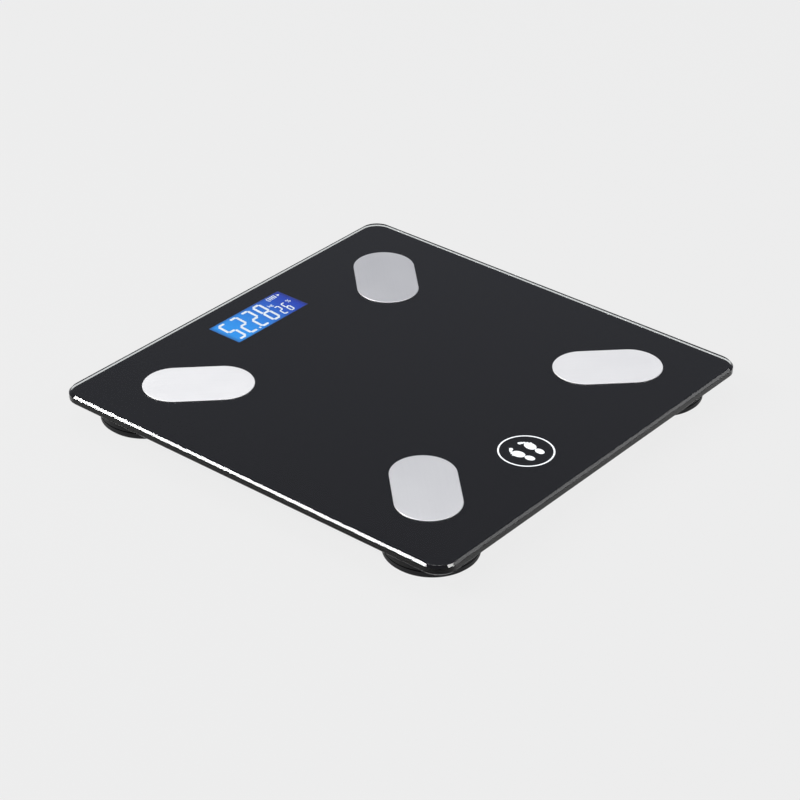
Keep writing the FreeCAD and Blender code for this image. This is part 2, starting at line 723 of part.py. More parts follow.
def center_housing():
    """The tray under the glass: display room and board room at the back, battery bay in front."""
    body = new_body("center_housing")
    half_y = "(housing_back - housing_front) / 2"
    mid_y = "(housing_back + housing_front) / 2"
    outline = new_sketch(body, "housing_outline", "ground_gap")
    draw_rounded(outline, "housing_half", half_y, "housing_corner", y=mid_y)
    pad(body, outline, "film_low - ground_gap")
    dress(body, "Fillet", "ground_gap", "housing_round")
    room = new_sketch(body, "housing_room", "film_low")
    inner_corner = "housing_corner - housing_wall"
    draw_rounded(room, "room_half", f"{half_y} - housing_wall", inner_corner, y=mid_y)
    pocket(body, room, "film_low - floor_high")
    block = new_sketch(body, "bay_block", "floor_high")
    draw_rectangle(block, "block_half_long", "block_half_wide")
    pad(body, block, "film_low - floor_high")
    bay = new_sketch(body, "bay_room", "film_low")
    draw_rectangle(bay, "bay_half_long", "bay_half_wide")
    pocket(body, bay, "film_low - ground_gap")
    recess = new_sketch(body, "door_recess", "ground_gap")
    draw_rectangle(recess, "door_half_long + door_play", "door_half_wide + door_play")
    pocket(body, recess, "door_thick + slide_fit / 2", upwards=True)
    catches = new_sketch(body, "tongue_pockets", "ground_gap + door_thick / 2 - slide_fit")
    for side in (-1, 1):
        edge = "-(door_half_wide + door_play + (tongue_reach + slide_fit) / 2 - slide_fit)"
        reach = "(tongue_reach + slide_fit) / 2 + slide_fit"
        draw_rectangle(catches, "3.5", reach, x=f"{side} * bay_half_long / 2", y=edge)
    pocket(body, catches, "door_thick + tongue_reach", upwards=True)
    grip = new_sketch(body, "finger_recess", "ground_gap")
    draw_rectangle(grip, "6", "1.2", y="door_half_wide + door_play + 1")
    pocket(body, grip, "door_thick * 0.75", upwards=True)
    slits = new_sketch(body, "battery_lead_slits", "film_low")
    for side in (-1, 1):
        reach = "(block_half_long - bay_half_long) / 2 + slide_fit"
        middle = "(block_half_long + bay_half_long) / 2"
        draw_rectangle(slits, reach, "lead_diameter", x=middle, y=f"{side} * battery_pitch / 2")
    pocket(body, slits, "film_low - battery_lead_level + lead_diameter")
    doors = new_sketch(body, "channel_doors", "film_low")
    for sx, sy in CORNERS.values():
        x = f"{sx} * (room_half + housing_wall / 2)"
        y = "side_entry" if sy > 0 else "-(room_half + housing_wall / 2)"
        half = "channel_wide / 2 - channel_wall"
        draw_rectangle(doors, "housing_wall / 2 + slide_fit", half, x=x, y=y)
    pocket(body, doors, "channel_drop - channel_floor")
    posts = new_sketch(body, "board_posts", "floor_high")
    for x, y in board_screw_places():
        draw_circle(posts, "screw_diameter / 2 + 1.5", x, y)
    pad(body, posts, "board_low - floor_high")
    pilots = new_sketch(body, "board_pilots", "board_low")
    for x, y in board_screw_places():
        draw_circle(pilots, "screw_diameter / 2 + screw_fit", x, y)
    pocket(body, pilots, "board_low - floor_high")
    button = new_sketch(body, "button_hole", "floor_high")
    draw_circle(button, "button_diameter / 2 + slide_fit", "button_side", "button_mid")
    pocket(body, button, "floor_thick")
    subpart(body, "center_housing")


def battery_door():
    """A plate in the bay's recess, with two tongues at its front edge and a clip at its back."""
    body = new_body("battery_door")
    outline = new_sketch(body, "door_outline", "ground_gap")
    draw_rectangle(outline, "door_half_long", "door_half_wide")
    pad(body, outline, "door_thick")
    tongues = new_sketch(body, "door_tongues", "ground_gap + door_thick / 2")
    for side in (-1, 1):
        middle = "-(door_half_wide + tongue_reach / 2 - slide_fit)"
        reach = "tongue_reach / 2 + slide_fit"
        draw_rectangle(tongues, "3", reach, x=f"{side} * bay_half_long / 2", y=middle)
    pad(body, tongues, "door_thick / 2")
    clip = new_sketch(body, "door_clip", "door_high")
    draw_rectangle(clip, "4", "0.5", y="bay_half_wide - 0.8")
    pad(body, clip, "1.5")
    grips = new_sketch(body, "door_grips", "ground_gap")
    for step in range(3):
        draw_rectangle(grips, "8", "0.5", y=f"door_half_wide - {2.5 + 2 * step}")
    pocket(body, grips, "door_thick / 3", upwards=True)
    subpart(body, "battery_door")


def battery(label, side):
    """A cell along X. The two lie opposite ways round: side -1 points its nub to +X."""
    way = -side
    can = doc.addObject("Part::Cylinder", label + "_can")
    nub = doc.addObject("Part::Cylinder", label + "_nub")
    bind(can, Radius="battery_diameter / 2", Height="battery_long - 0.8")
    bind(nub, Radius="1.9", Height="1")
    for piece in (can, nub):
        turn = FreeCAD.Rotation(FreeCAD.Vector(0, 1, 0), 90 * way)
        piece.Placement = FreeCAD.Placement(FreeCAD.Vector(), turn)
    level = "door_high + battery_play + battery_diameter / 2"
    nose = "bay_half_long - contact_thick"
    y = f"{side} * battery_pitch / 2"
    tail = f"{way} * ({nose} - battery_long)"
    neck = f"{way} * ({nose} - 1)"
    bind(can, Placement__Base__x=tail, Placement__Base__y=y, Placement__Base__z=level)
    bind(nub, Placement__Base__x=neck, Placement__Base__y=y, Placement__Base__z=level)
    subpart(fuse(label, can, nub), label)


def battery_contact(name, way, y, wide):
    """A steel plate against an end wall of the bay."""
    x = f"{way} * (bay_half_long - contact_thick / 2)"
    low = "door_high + battery_play + 1"
    return box(name, x, y, low, "contact_thick", wide, "battery_diameter - 2")


def battery_spring(side):
    """A cone-shaped coil on the contact plate behind a cell's flat end."""
    wire = 0.3
    way = side
    room = num("spring_room") - 2 * num("contact_thick")
    large, small = num("battery_diameter") * 0.36, num("battery_diameter") * 0.2
    length = room - 2 * wire
    slope = math.degrees(math.atan2(small - large, length))
    helix = Part.makeHelix(length / 4, length, large, slope)
    start = helix.Edges[0].valueAt(helix.Edges[0].FirstParameter)
    heading = helix.Edges[0].tangentAt(helix.Edges[0].FirstParameter)
    profile = Part.Wire(Part.makeCircle(wire, start, heading))
    coil = Part.Wire(helix.Edges).makePipeShell([profile], True, True)
    made = doc.addObject("Part::Feature", f"spring_{'back' if side > 0 else 'front'}")
    made.Shape = coil
    x = way * (num("bay_half_long - contact_thick") - wire)
    y = side * num("battery_pitch / 2")
    level = num("door_high + battery_play + battery_diameter / 2")
    turn = FreeCAD.Rotation(FreeCAD.Vector(0, 1, 0), -90 * way)
    made.Placement = FreeCAD.Placement(FreeCAD.Vector(x, y, level), turn)
    return made


# ---------------------------------------------------------------------------- the display


def display():
    """The liquid-crystal panel, its holder, the light guide behind it and its rubber contacts."""
    mid = "window_mid"
    panel = box("lcd_panel", "0", mid, "lcd_low", "lcd_long", "lcd_wide", "lcd_thick")
    subpart(panel, "lcd_panel")
    rib = "2 * (lcd_overlap + slide_fit)"
    guide_low = "board_high + slide_fit"
    guide_wide = f"lcd_wide - 2 * ({rib})"
    guide = box(
        "light_guide", "0", mid, guide_low, "lcd_long - 4", guide_wide, "backlight_thick"
    )
    subpart(guide, "light_guide")
    lamp = box(
        "backlight_led",
        "lcd_long / 2 - 1",
        mid,
        "board_high",
        "1.6",
        "6",
        "backlight_thick",
    )
    subpart(lamp, "backlight_led")
    body = new_body("lcd_holder")
    outline = new_sketch(body, "holder_outline", "board_high")
    draw_rectangle(outline, "holder_long / 2", "holder_wide / 2", y=mid)
    half_x, half_y = "lcd_long / 2 + slide_fit", "lcd_wide / 2 + slide_fit"
    draw_rectangle(outline, half_x, half_y, y=mid)
    pad(body, outline, "film_low - board_high")
    subpart(body, "lcd_holder")
    strips = []
    for side in (-1, 1):
        y = f"{mid} + {side} * (lcd_wide / 2 - lcd_overlap)"
        strips.append(
            box(
                f"zebra_{'back' if side > 0 else 'front'}",
                "0",
                y,
                "board_high",
                "lcd_long - 6",
                "1.8",
                "lcd_low - board_high",
            )
        )
    group("contact_strips", strips)


# ---------------------------------------------------------------------------- the board


def board_screw_places():
    """The four screws stand in front of the display, clear of the sockets."""
    places = []
    for side in (-1, 1):
        places.append((f"{side} * (board_half - 8)", "board_front + 8"))
        places.append((f"{side} * (board_half - 4)", "board_front + board_apron - 4"))
    return places


def main_board():
    body = new_body("main_board")
    outline = new_sketch(body, "board_outline", "board_low")
    half_y = "(board_back - board_front) / 2"
    middle = "(board_back + board_front) / 2"
    draw_rounded(outline, "board_half", half_y, "housing_corner - housing_wall", y=middle)
    for x, y in board_screw_places():
        draw_circle(outline, "screw_diameter / 2 + 0.2", x, y)
    pad(body, outline, "board_thick")
    subpart(body, "main_board")


def board_screw(number, x, y):
    name = f"board_screw_{number}"
    head = rod(name + "_head", "screw_head / 2", x, y, "board_high", "board_high + 1.4")
    shank_low = "board_low - 3"
    shank = rod(name + "_shank", "screw_diameter / 2", x, y, shank_low, "board_high + 1")
    return fuse(name, head, shank)


def board_components():
    """A chip under a drop of resin, a crystal, two capacitors and a row of small parts."""
    front = "board_front"
    drop = doc.addObject("Part::Cone", "chip_resin")
    bind(drop, Radius1="7", Radius2="4.5", Height="1.3")
    place(drop, x="-4", y=f"{front} + 22", z="board_high")
    subpart(drop, "controller_chip")
    pieces = [
        box("crystal", "10", f"{front} + 16", "board_high", "8", "3.2", "2.6"),
        rod("capacitor_left", "2.2", "-19", f"{front} + 14", "board_high", "board_high + 3.6"),
        rod("capacitor_right", "2.2", "-24", f"{front} + 14", "board_high", "board_high + 3.6"),
    ]
    for step in range(6):
        x = f"12 + {3 * step}" if step < 3 else f"12 + {3 * (step - 3)}"
        y = f"{front} + 22" if step < 3 else f"{front} + 26"
        pieces.append(box(f"chip_part_{step}", x, y, "board_high", "1.6", "0.8", "0.6"))
    group("board_parts", pieces)


def lead_sockets():
    """One socket for each foot's wires and one for the battery's, at the board's edges."""
    deep = "socket_back - board_front"
    high = "film_low - slide_fit / 2 - board_high"
    front = "(board_front + socket_back) / 2"
    made = []
    for corner, (sx, sy) in CORNERS.items():
        if sy < 0:
            where = (f"{sx} * front_lane", front, "board_high", "4.4", deep, high)
        else:
            x = f"{sx} * (board_half - ({deep}) / 2)"
            where = (x, "side_entry", "board_high", deep, "4.4", high)
        made.append(box("socket_" + corner, *where))
    where = ("battery_lane + 0.3", front, "board_high", "2.8", deep, high)
    made.append(box("socket_battery", *where))
    return made


def unit_switch():
    """The switch under the board: a body with a hole, a plunger in it, and the button below."""
    x, y = "button_side", "button_mid"
    high = "board_low - switch_low"
    block = box("switch_block", x, y, "switch_low", "switch_side", "switch_side", high)
    well = rod("switch_well", "1.6 + slide_fit", x, y, "switch_low - 1", "board_low - 0.8")
    subpart(cut("switch_body", block, well), "switch_body")
    cap_high = "floor_high + 0.8"
    plunger_high = "board_low - 0.8 - button_travel - slide_fit"
    plunger = rod("switch_plunger", "1.6", x, y, cap_high, plunger_high)
    subpart(plunger, "switch_plunger")
    stem = rod("button_stem", "button_diameter / 2", x, y, "ground_gap + slide_fit", cap_high)
    flange = rod(
        "button_flange",
        "button_diameter / 2 + 1.2",
        x,
        y,
        "floor_high + slide_fit / 2",
        cap_high,
    )
    subpart(fuse("unit_button", stem, flange), "unit_button")


# ---------------------------------------------------------------------------- the wires


def offset_route(points, side):
    """The same route, moved sideways by a distance, with its corners kept sharp."""
    moved = []
    for i, point in enumerate(points):
        before = (point - points[i - 1]).normalize() if i else None
        after = (points[i + 1] - point).normalize() if i + 1 < len(points) else None
        before, after = before or after, after or before
        normal_before = FreeCAD.Vector(-before.y, before.x, 0)
        normal_after = FreeCAD.Vector(-after.y, after.x, 0)
        middle = (normal_before + normal_after).normalize()
        moved.append(point + middle * (side / middle.dot(normal_after)))
    return moved


def rounded_path(points):
    """Straight runs joined by tangent arcs of one radius, or less where the runs are short."""
    edges, radii = [], []
    start = points[0]
    for before, corner, after in zip(points, points[1:], points[2:]):
        back, ahead = before - corner, after - corner
        half_turn = (math.pi - back.getAngle(ahead)) / 2
        reach = min(0.45 * min(back.Length, ahead.Length), num("lead_bend") * math.tan(half_turn))
        radius = reach / math.tan(half_turn)
        radii.append(radius)
        back, ahead = back.normalize(), ahead.normalize()
        enter, leave = corner + back * reach, corner + ahead * reach
        inward = (back + ahead).normalize()
        top = corner + inward * (radius / math.cos(half_turn) - radius)
        edges.append(Part.LineSegment(start, enter).toShape())
        edges.append(Part.Arc(enter, top, leave).toShape())
        start = leave
    edges.append(Part.LineSegment(start, points[-1]).toShape())
    return Part.Wire(edges), radii


def wire_tube(name, points, level):
    """A round wire of the leads' diameter along a route at one level."""
    raised = [FreeCAD.Vector(p.x, p.y, level) for p in points]
    path, radii = rounded_path(raised)
    radius = num("lead_diameter / 2")
    profile = Part.Wire(Part.makeCircle(radius, raised[0], raised[1] - raised[0]))
    tube = path.makePipeShell([profile], True, False)
    expected = math.pi * radius**2 * path.Length
    if abs(tube.Volume - expected) > 0.01 * expected:
        raise RuntimeError(f"{name} has volume {tube.Volume}, not {expected}")
    print(f"{name}: {path.Length:.0f} mm, tightest bend {min(radii):.1f} mm")
    made = doc.addObject("Part::Feature", name)
    made.Shape = tube
    return made


def lead_route(corner, start):
    """The route of a corner's wires, from a place on its diagonal to its socket."""
    sx, sy = CORNERS[corner]
    if sy < 0:
        lane = num("front_lane")
        turns = [(lane, lane), (lane, -num("board_front"))]
    else:
        entry = num("side_entry")
        turns = [(entry, entry), (num("board_half"), entry)]
    points = [FreeCAD.Vector(sx * start, sy * start, 0)]
    return points + [FreeCAD.Vector(sx * x, sy * y, 0) for x, y in turns]


def cell_leads(corner):
    """The three wires of one load cell, side by side."""
    start = num("foot_mid - 7 / sqrt(2)")
    route = lead_route(corner, start)
    names = ("red", "white", "black")
    tubes = [
        wire_tube(
            f"{name}_wire_{corner}",
            offset_route(route, step * num("lead_pitch")),
            num("lead_level"),
        )
        for step, name in zip((-1, 0, 1), names)
    ]
    group("cell_leads_" + corner, tubes)


def electrode_lead(corner):
    """One wire from an electrode's terminal, above the load cell's wires."""
    start = num("stud_mid - 7.5 / sqrt(2)")
    route = lead_route(corner, start)
    return wire_tube("electrode_wire_" + corner, route, num("electrode_lead_level"))


def battery_lead(side):
    """One wire from a contact at the bay's right end, through its slit and back to the board."""
    lane = num("battery_lane") - side * num("lead_pitch") / 2
    y = side * num("battery_pitch / 2")
    turn = lane - num("lead_pitch")
    points = [(num("bay_half_long"), y), (turn, y), (lane, y + 2.2), (lane, num("board_front"))]
    vectors = [FreeCAD.Vector(a, b, 0) for a, b in points]
    name = f"battery_wire_{'back' if side > 0 else 'front'}"
    return wire_tube(name, vectors, num("battery_lead_level"))


# ---------------------------------------------------------------------------- assembly


def build():
    glass_platform()
    black_film()
    for corner in CORNERS:
        electrode(corner)
        foot_housing(corner)
        load_cell(corner)
        foot_pad(corner)
        rubber_sole(corner)
    for corner, (_, sy) in CORNERS.items():
        front_channel(corner) if sy < 0 else back_channel(corner)
    group("electrode_tapes", [electrode_tape(corner) for corner in CORNERS])
    group("electrode_studs", [electrode_stud(corner) for corner in CORNERS])
    group("electrode_nuts", [electrode_nut(corner) for corner in CORNERS])
    group("ring_terminals", [ring_terminal(corner) for corner in CORNERS])
    group("strain_gauges", [strain_gauge(corner) for corner in CORNERS])
    group("cell_screws", [cell_screw(corner, side) for corner in CORNERS for side in (-1, 1)])
    center_housing()
    battery_door()
    battery("battery_front", -1)
    battery("battery_back", 1)
    pitch = "battery_pitch / 2"
    contacts = [
        battery_contact("contact_front", 1, f"-{pitch}", "battery_diameter - 2"),
        battery_contact("contact_back", 1, pitch, "battery_diameter - 2"),
        battery_contact("contact_bridge", -1, "0", "battery_pitch + battery_diameter - 2"),
    ]
    group("battery_contacts", contacts)
    group("battery_springs", [battery_spring(side) for side in (-1, 1)])
    display()
    main_board()
    screws = [board_screw(i, x, y) for i, (x, y) in enumerate(board_screw_places())]
    group("board_screws", screws)
    board_components()
    group("lead_sockets", lead_sockets())
    unit_switch()
    doc.recompute()
    for corner in CORNERS:
        cell_leads(corner)
    group("electrode_leads", [electrode_lead(corner) for corner in CORNERS])
    group("battery_leads", [battery_lead(side) for side in (-1, 1)])
    doc.recompute()


def write():
    """Checks every object and every piece, then writes one STEP file per piece."""
    for obj in doc.Objects:
        if "Invalid" in obj.State or "Error" in obj.State:
            raise RuntimeError(f"{obj.Name} failed: {obj.State}")
    for piece in subparts:
        if piece.Shape.isNull() or not piece.Shape.isValid() or not piece.Shape.Solids:
            raise RuntimeError(f"{piece.Label} has no valid solid")
    os.makedirs("parts", exist_ok=True)
    for piece in subparts:
        piece.Shape.exportStep(f"parts/{piece.Label}.step")
    print(len(subparts), "pieces written")


build()
write()
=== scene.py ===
"""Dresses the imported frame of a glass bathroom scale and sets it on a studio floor.

Lengths are metres. +X is to the right and +Y away from the person who reads the display.
"""

import json
import math

import bmesh
import bpy
from bpy.props import FloatProperty, FloatVectorProperty, IntProperty, PointerProperty
from bpy.types import Operator, Panel, PropertyGroup
from mathutils import Matrix, Vector


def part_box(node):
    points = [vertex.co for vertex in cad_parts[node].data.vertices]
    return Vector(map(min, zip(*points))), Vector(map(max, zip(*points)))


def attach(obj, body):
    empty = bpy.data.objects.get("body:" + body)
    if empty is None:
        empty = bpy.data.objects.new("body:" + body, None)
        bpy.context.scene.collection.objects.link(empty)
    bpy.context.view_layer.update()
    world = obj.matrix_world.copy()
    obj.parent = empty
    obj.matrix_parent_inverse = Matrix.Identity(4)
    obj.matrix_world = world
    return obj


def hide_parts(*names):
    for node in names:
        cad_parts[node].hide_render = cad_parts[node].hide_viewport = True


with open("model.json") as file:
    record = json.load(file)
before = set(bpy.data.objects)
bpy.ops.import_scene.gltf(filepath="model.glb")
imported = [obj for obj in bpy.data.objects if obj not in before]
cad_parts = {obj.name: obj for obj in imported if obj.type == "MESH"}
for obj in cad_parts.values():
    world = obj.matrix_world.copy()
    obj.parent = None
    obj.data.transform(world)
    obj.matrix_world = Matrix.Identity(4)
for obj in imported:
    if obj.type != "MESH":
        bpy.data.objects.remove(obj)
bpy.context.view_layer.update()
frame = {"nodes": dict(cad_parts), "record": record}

bl_info = {
    "name": "Glass bathroom scale",
    "version": (1, 0, 0),
    "blender": (4, 5, 0),
    "location": "3D View > Sidebar > Bathroom Scale",
    "description": "Models and finishes a glass body scale on its packed frame",
    "category": "Object",
}

CORNERS = {
    "front_left": (-1, -1),
    "front_right": (1, -1),
    "back_left": (-1, 1),
    "back_right": (1, 1),
}
MM = 0.001
FILM_LAP = 1.6 * MM  # how far the film laps over the display's panel on each side
MARK_MIDDLE = (-20.5 * MM, -110.0 * MM)
MARK_LOOK = {"ring": 17.2 * MM, "line": 1.0 * MM, "ink": 0.02 * MM}
SHARP = math.radians(30)
FULL_TURN = 2 * math.pi


# ------------------------------------------------------------------ settings


def length(name, default, description):
    """A length that a user may change, in metres."""
    return FloatProperty(
        name=name, description=description, default=default, min=0.0, precision=5, unit="LENGTH"
    )


def offset(name, default, description):
    """A distance that may go either way, in metres."""
    return FloatProperty(
        name=name, description=description, default=default, precision=5, unit="LENGTH"
    )


def colour(name, default, description):
    """A colour that a user may change, in linear light."""
    return FloatVectorProperty(
        name=name, description=description, default=default, size=3, min=0.0, max=1.0,
        subtype="COLOR",
    )


class PlateSettings(PropertyGroup):
    """The glass plate and the print under it."""

    corner: length("Corner", 0.013, "Radius of the plate's corners")
    chamfer: length("Upper chamfer", 0.0015, "Width of the polished upper chamfer")
    low_chamfer: length("Lower chamfer", 0.0009, "Width of the polished lower chamfer")
    soften: length("Softened edge", 0.0002, "Half width of the rounding where two faces meet")
    clearance: length("Clearance", 0.00002, "Gap between the glass and the film under it")
    hole: length("Stud hole", 0.0025, "Radius of the holes for the electrodes' studs")
    glass: colour("Glass", (0.79, 0.815, 0.81), "Tint of the clear glass")
    print_colour: colour("Print", (0.00015, 0.00015, 0.0002), "Print under the glass")
    mark_colour: colour("Mark", (0.80, 0.82, 0.83), "Colour of the printed standing mark")


class ElectrodeSettings(PropertyGroup):
    """The four steel plates that the user stands on."""

    wide: length("Width", 0.0404, "Width of a plate, across its long axis")
    rim: length("Rim", 0.0003, "Radius of the rounded upper rim")
    steel: colour("Steel", (0.86, 0.855, 0.845), "Colour of the brushed steel")
    along: FloatProperty(name="Spread along", default=0.38, min=0.0, max=1.0,
                         description="Roughness of the plates that point to the viewer")
    across: FloatProperty(name="Spread across", default=0.56, min=0.0, max=1.0,
                          description="Roughness of the plates that lie across the view")


class DisplaySettings(PropertyGroup):
    """The lit display under its window."""

    digit_high: length("Digit height", 0.0225, "Height of the large digits")
    digit_wide: length("Digit width", 0.0077, "Width of the large digits")
    stroke: length("Stroke", 0.0019, "Width of a large segment")
    bright: colour("Bright side", (0.01, 0.34, 1.0), "Backlight near its lamp")
    deep: colour("Deep side", (0.0, 0.02, 0.48), "Backlight far from its lamp")
    segment: colour("Segments", (0.86, 0.92, 1.0), "Colour of the lit segments")
    glow: FloatProperty(name="Glow", default=1.15, min=0.0, description="Backlight's strength")


class UnderSettings(PropertyGroup):
    """The feet, the housing and what is in them."""

    plastic: colour("Plastic", (0.007, 0.007, 0.0075), "Moulded plastic of the feet and housing")
    rubber: colour("Rubber", (0.006, 0.0058, 0.0055), "Rubber of the soles")
    board: colour("Board", (0.012, 0.11, 0.035), "Solder mask of the circuit board")
    sleeve: colour("Battery sleeve", (0.03, 0.16, 0.07), "Printed sleeve of the batteries")


class StageSettings(PropertyGroup):
    """The camera, the floor and the lights."""

    azimuth: FloatProperty(name="Azimuth", default=math.radians(-50.7873), subtype="ANGLE",
                           description="Camera's turn round the scale")
    elevation: FloatProperty(name="Elevation", default=math.radians(31.3236), subtype="ANGLE",
                             description="Camera's height above the horizon")
    roll: FloatProperty(name="Roll", default=math.radians(0.5920), subtype="ANGLE",
                        description="Camera's turn about its own axis")
    distance: length("Distance", 1.59592, "From the camera to the platform's middle")
    aside: offset("Aside", -0.00267, "How far the camera stands to the right")
    rise: offset("Rise", -0.01508, "How far the camera stands up from its line of sight")
    lens: FloatProperty(name="Lens", default=115.927, min=1.0, description="Focal length in mm")
    floor: colour("Floor", (0.845, 0.845, 0.845), "Brightness of the pale floor")
    floor_side: length("Floor side", 14.0, "Side of the square floor")
    room: colour("Room", (0.30, 0.31, 0.355), "Brightness of the room in reflections")
    segments: IntProperty(name="Round segments", default=128, min=16,
                          description="Facets round a full circle")


SETTINGS = {
    "scale_plate": PlateSettings,
    "scale_electrodes": ElectrodeSettings,
    "scale_display": DisplaySettings,
    "scale_under": UnderSettings,
    "scale_stage": StageSettings,
}


def settings(group):
    """A group of settings, as they stand in the scene."""
    return getattr(bpy.context.scene, group)


# ------------------------------------------------------------------ shader expressions


class Value:
    """A shader socket that takes part in Python expressions, each of which adds a Math node."""

    def __init__(self, finish, socket):
        self.finish = finish
        self.socket = socket

    def math(self, operation, *others):
        values = {i: v for i, v in enumerate((self, *others))}
        return self.finish.node("ShaderNodeMath", {"operation": operation}, values)[0]

    def __add__(self, other):
        return self.math("ADD", other)

    def __sub__(self, other):
        return self.math("SUBTRACT", other)

    def __mul__(self, other):
        return self.math("MULTIPLY", other)

    def __truediv__(self, other):
        return self.math("DIVIDE", other)

    def __rsub__(self, other):
        values = {0: other, 1: self}
        return self.finish.node("ShaderNodeMath", {"operation": "SUBTRACT"}, values)[0]

    __radd__ = __add__
    __rmul__ = __mul__

    def abs(self):
        return self.math("ABSOLUTE")

    def power(self, exponent):
        return self.math("POWER", exponent)

    def smooth(self, low, high):
        """0 below low and 1 above high, with a smooth ramp between them."""
        made = self.finish.node(
            "ShaderNodeMapRange",
            {"interpolation_type": "SMOOTHSTEP", "clamp": True},
            {"Value": self, "From Min": low, "From Max": high, "To Min": 0.0, "To Max": 1.0},
        )
        return made["Result"]


class Finish:
    """A material, or a world, while its nodes are being made."""

    def __init__(self, name, kind="materials"):
        self.made = getattr(bpy.data, kind).new(name)
        self.made.use_nodes = True
        self.tree = self.made.node_tree
        self.tree.nodes.clear()

    def node(self, kind, setup=None, values=None):
        """Adds a node, sets it up, fills or links its sockets, and returns its outputs."""
        made = self.tree.nodes.new(kind)
        stops = (setup or {}).get("stops")
        for key, value in (setup or {}).items():
            if key != "stops":
                setattr(made, key, value)
        if stops:
            elements = made.color_ramp.elements
            while len(elements) < len(stops):
                elements.new(0.5)
            for element, (position, shade) in zip(elements, stops):
                element.position = position
                element.color = (*shade, 1.0)
        for key, value in (values or {}).items():
            socket = made.inputs[key]
            if isinstance(value, Value):
                self.tree.links.new(value.socket, socket)
            elif isinstance(value, (tuple, list, Vector)) and socket.type == "RGBA":
                socket.default_value = (*value[:3], 1.0)
            else:
                socket.default_value = value
        return Outputs(self, made)

    def place(self, turn=0.0, middle=(0, 0, 0), stretch=(1, 1, 1)):
        """Object coordinates, moved to a middle, turned about Z and stretched."""
        coords = self.node("ShaderNodeTexCoord")["Object"]
        moved = self.node(
            "ShaderNodeVectorMath", {"operation": "SUBTRACT"}, {0: coords, 1: middle}
        )[0]
        turned = self.node(
            "ShaderNodeMapping",
            {"vector_type": "POINT"},
            {"Vector": moved, "Rotation": (0, 0, -turn)},
        )[0]
        return self.node(
            "ShaderNodeVectorMath", {"operation": "MULTIPLY"}, {0: turned, 1: stretch}
        )[0]

    def noise(self, scale, where=None, detail=3.0, rough=0.5):
        """Soft noise from 0 to 1. scale is in cells per metre."""
        where = where or self.place()
        values = {"Vector": where, "Scale": scale, "Detail": detail, "Roughness": rough}
        return self.node("ShaderNodeTexNoise", None, values)[0]

    def cells(self, scale, where=None, feature="F1"):
        """The distance to the nearest of scattered points."""
        where = where or self.place()
        values = {"Vector": where, "Scale": scale}
        return self.node("ShaderNodeTexVoronoi", {"feature": feature}, values)["Distance"]

    def axes(self, where):
        """The three parts of a vector."""
        parts = self.node("ShaderNodeSeparateXYZ", None, {0: where})
        return parts[0], parts[1], parts[2]

    def blend(self, factor, low, high):
        """A colour between two others."""
        made = self.node(
            "ShaderNodeMix",
            {"data_type": "RGBA", "blend_type": "MIX"},
            {"Factor": factor, 6: low, 7: high},
        )
        return Value(self, made.made.outputs[2])

    def bump(self, height, depth, strength=1.0):
        """A normal from a height of 0 to 1 that stands for depth in metres."""
        values = {"Height": height, "Distance": depth, "Strength": strength}
        return self.node("ShaderNodeBump", None, values)["Normal"]

    def shade(self, **sockets):
        """Ends the material in one Principled shader. Underscores stand for spaces."""
        values = {key.replace("_", " "): value for key, value in sockets.items()}
        shader = self.node("ShaderNodeBsdfPrincipled", None, values)[0]
        self.node("ShaderNodeOutputMaterial", None, {"Surface": shader})
        return self.made


class Outputs:
    """A node's outputs, by name or number."""

    def __init__(self, finish, made):
        self.finish = finish
        self.made = made

    def __getitem__(self, key):
        return Value(self.finish, self.made.outputs[key])


def varied(base, amount):
    """A darker and a lighter neighbour of a colour."""
    darker = tuple(c * (1 - amount) for c in base)
    lighter = tuple(min(1.0, c * (1 + amount)) for c in base)
    return darker, lighter


# ------------------------------------------------------------------ finishes


def clear_glass(name="clear_glass", reflection=1.0):
    """Polished clear glass with the faintest smears on it."""
    f = Finish(name)
    smears = f.noise(38.0, f.place(turn=0.6, stretch=(1, 3.5, 1)), 5.0, 0.6)
    return f.shade(
        Base_Color=tuple(settings("scale_plate").glass),
        Transmission_Weight=1.0,
        IOR=1.52,
        Specular_Tint=(reflection, reflection, reflection),
        Roughness=smears.smooth(0.45, 0.8) * 0.006,
    )


def back_print():
    """The opaque black print under the glass."""
    f = Finish("back_print")
    base = tuple(settings("scale_plate").print_colour)
    darker, lighter = varied(base, 0.25)
    return f.shade(
        Base_Color=f.blend(f.noise(220.0), darker, lighter),
        Roughness=f.noise(900.0) * 0.2 + 0.6,
        Specular_IOR_Level=0.0,
    )


def print_film():
    """The film behind the print, as it is seen from below."""
    f = Finish("print_film")
    grain = f.noise(2600.0)
    return f.shade(
        Base_Color=f.blend(f.noise(60.0), (0.010, 0.010, 0.011), (0.016, 0.016, 0.018)),
        Roughness=f.noise(300.0) * 0.15 + 0.28,
        Normal=f.bump(grain, 0.00002, 0.4),
    )


def white_print_painted_glow():
    """Opaque white screen print with slightly uneven ink, and a painted glow: the ink emits its
    own colour.
    """
    f = Finish("white_print_painted_glow")
    base = tuple(settings("scale_plate").mark_colour)
    ink = f.blend(f.noise(1800.0), varied(base, 0.06)[0], base)
    return f.shade(
        Base_Color=ink,
        Roughness=f.noise(2500.0) * 0.1 + 0.4,
        # Painted light: the printed mark glows with its own ink colour, as if lit, though it is
        # no lamp.
        Emission_Color=ink,
        Emission_Strength=0.25,
    )


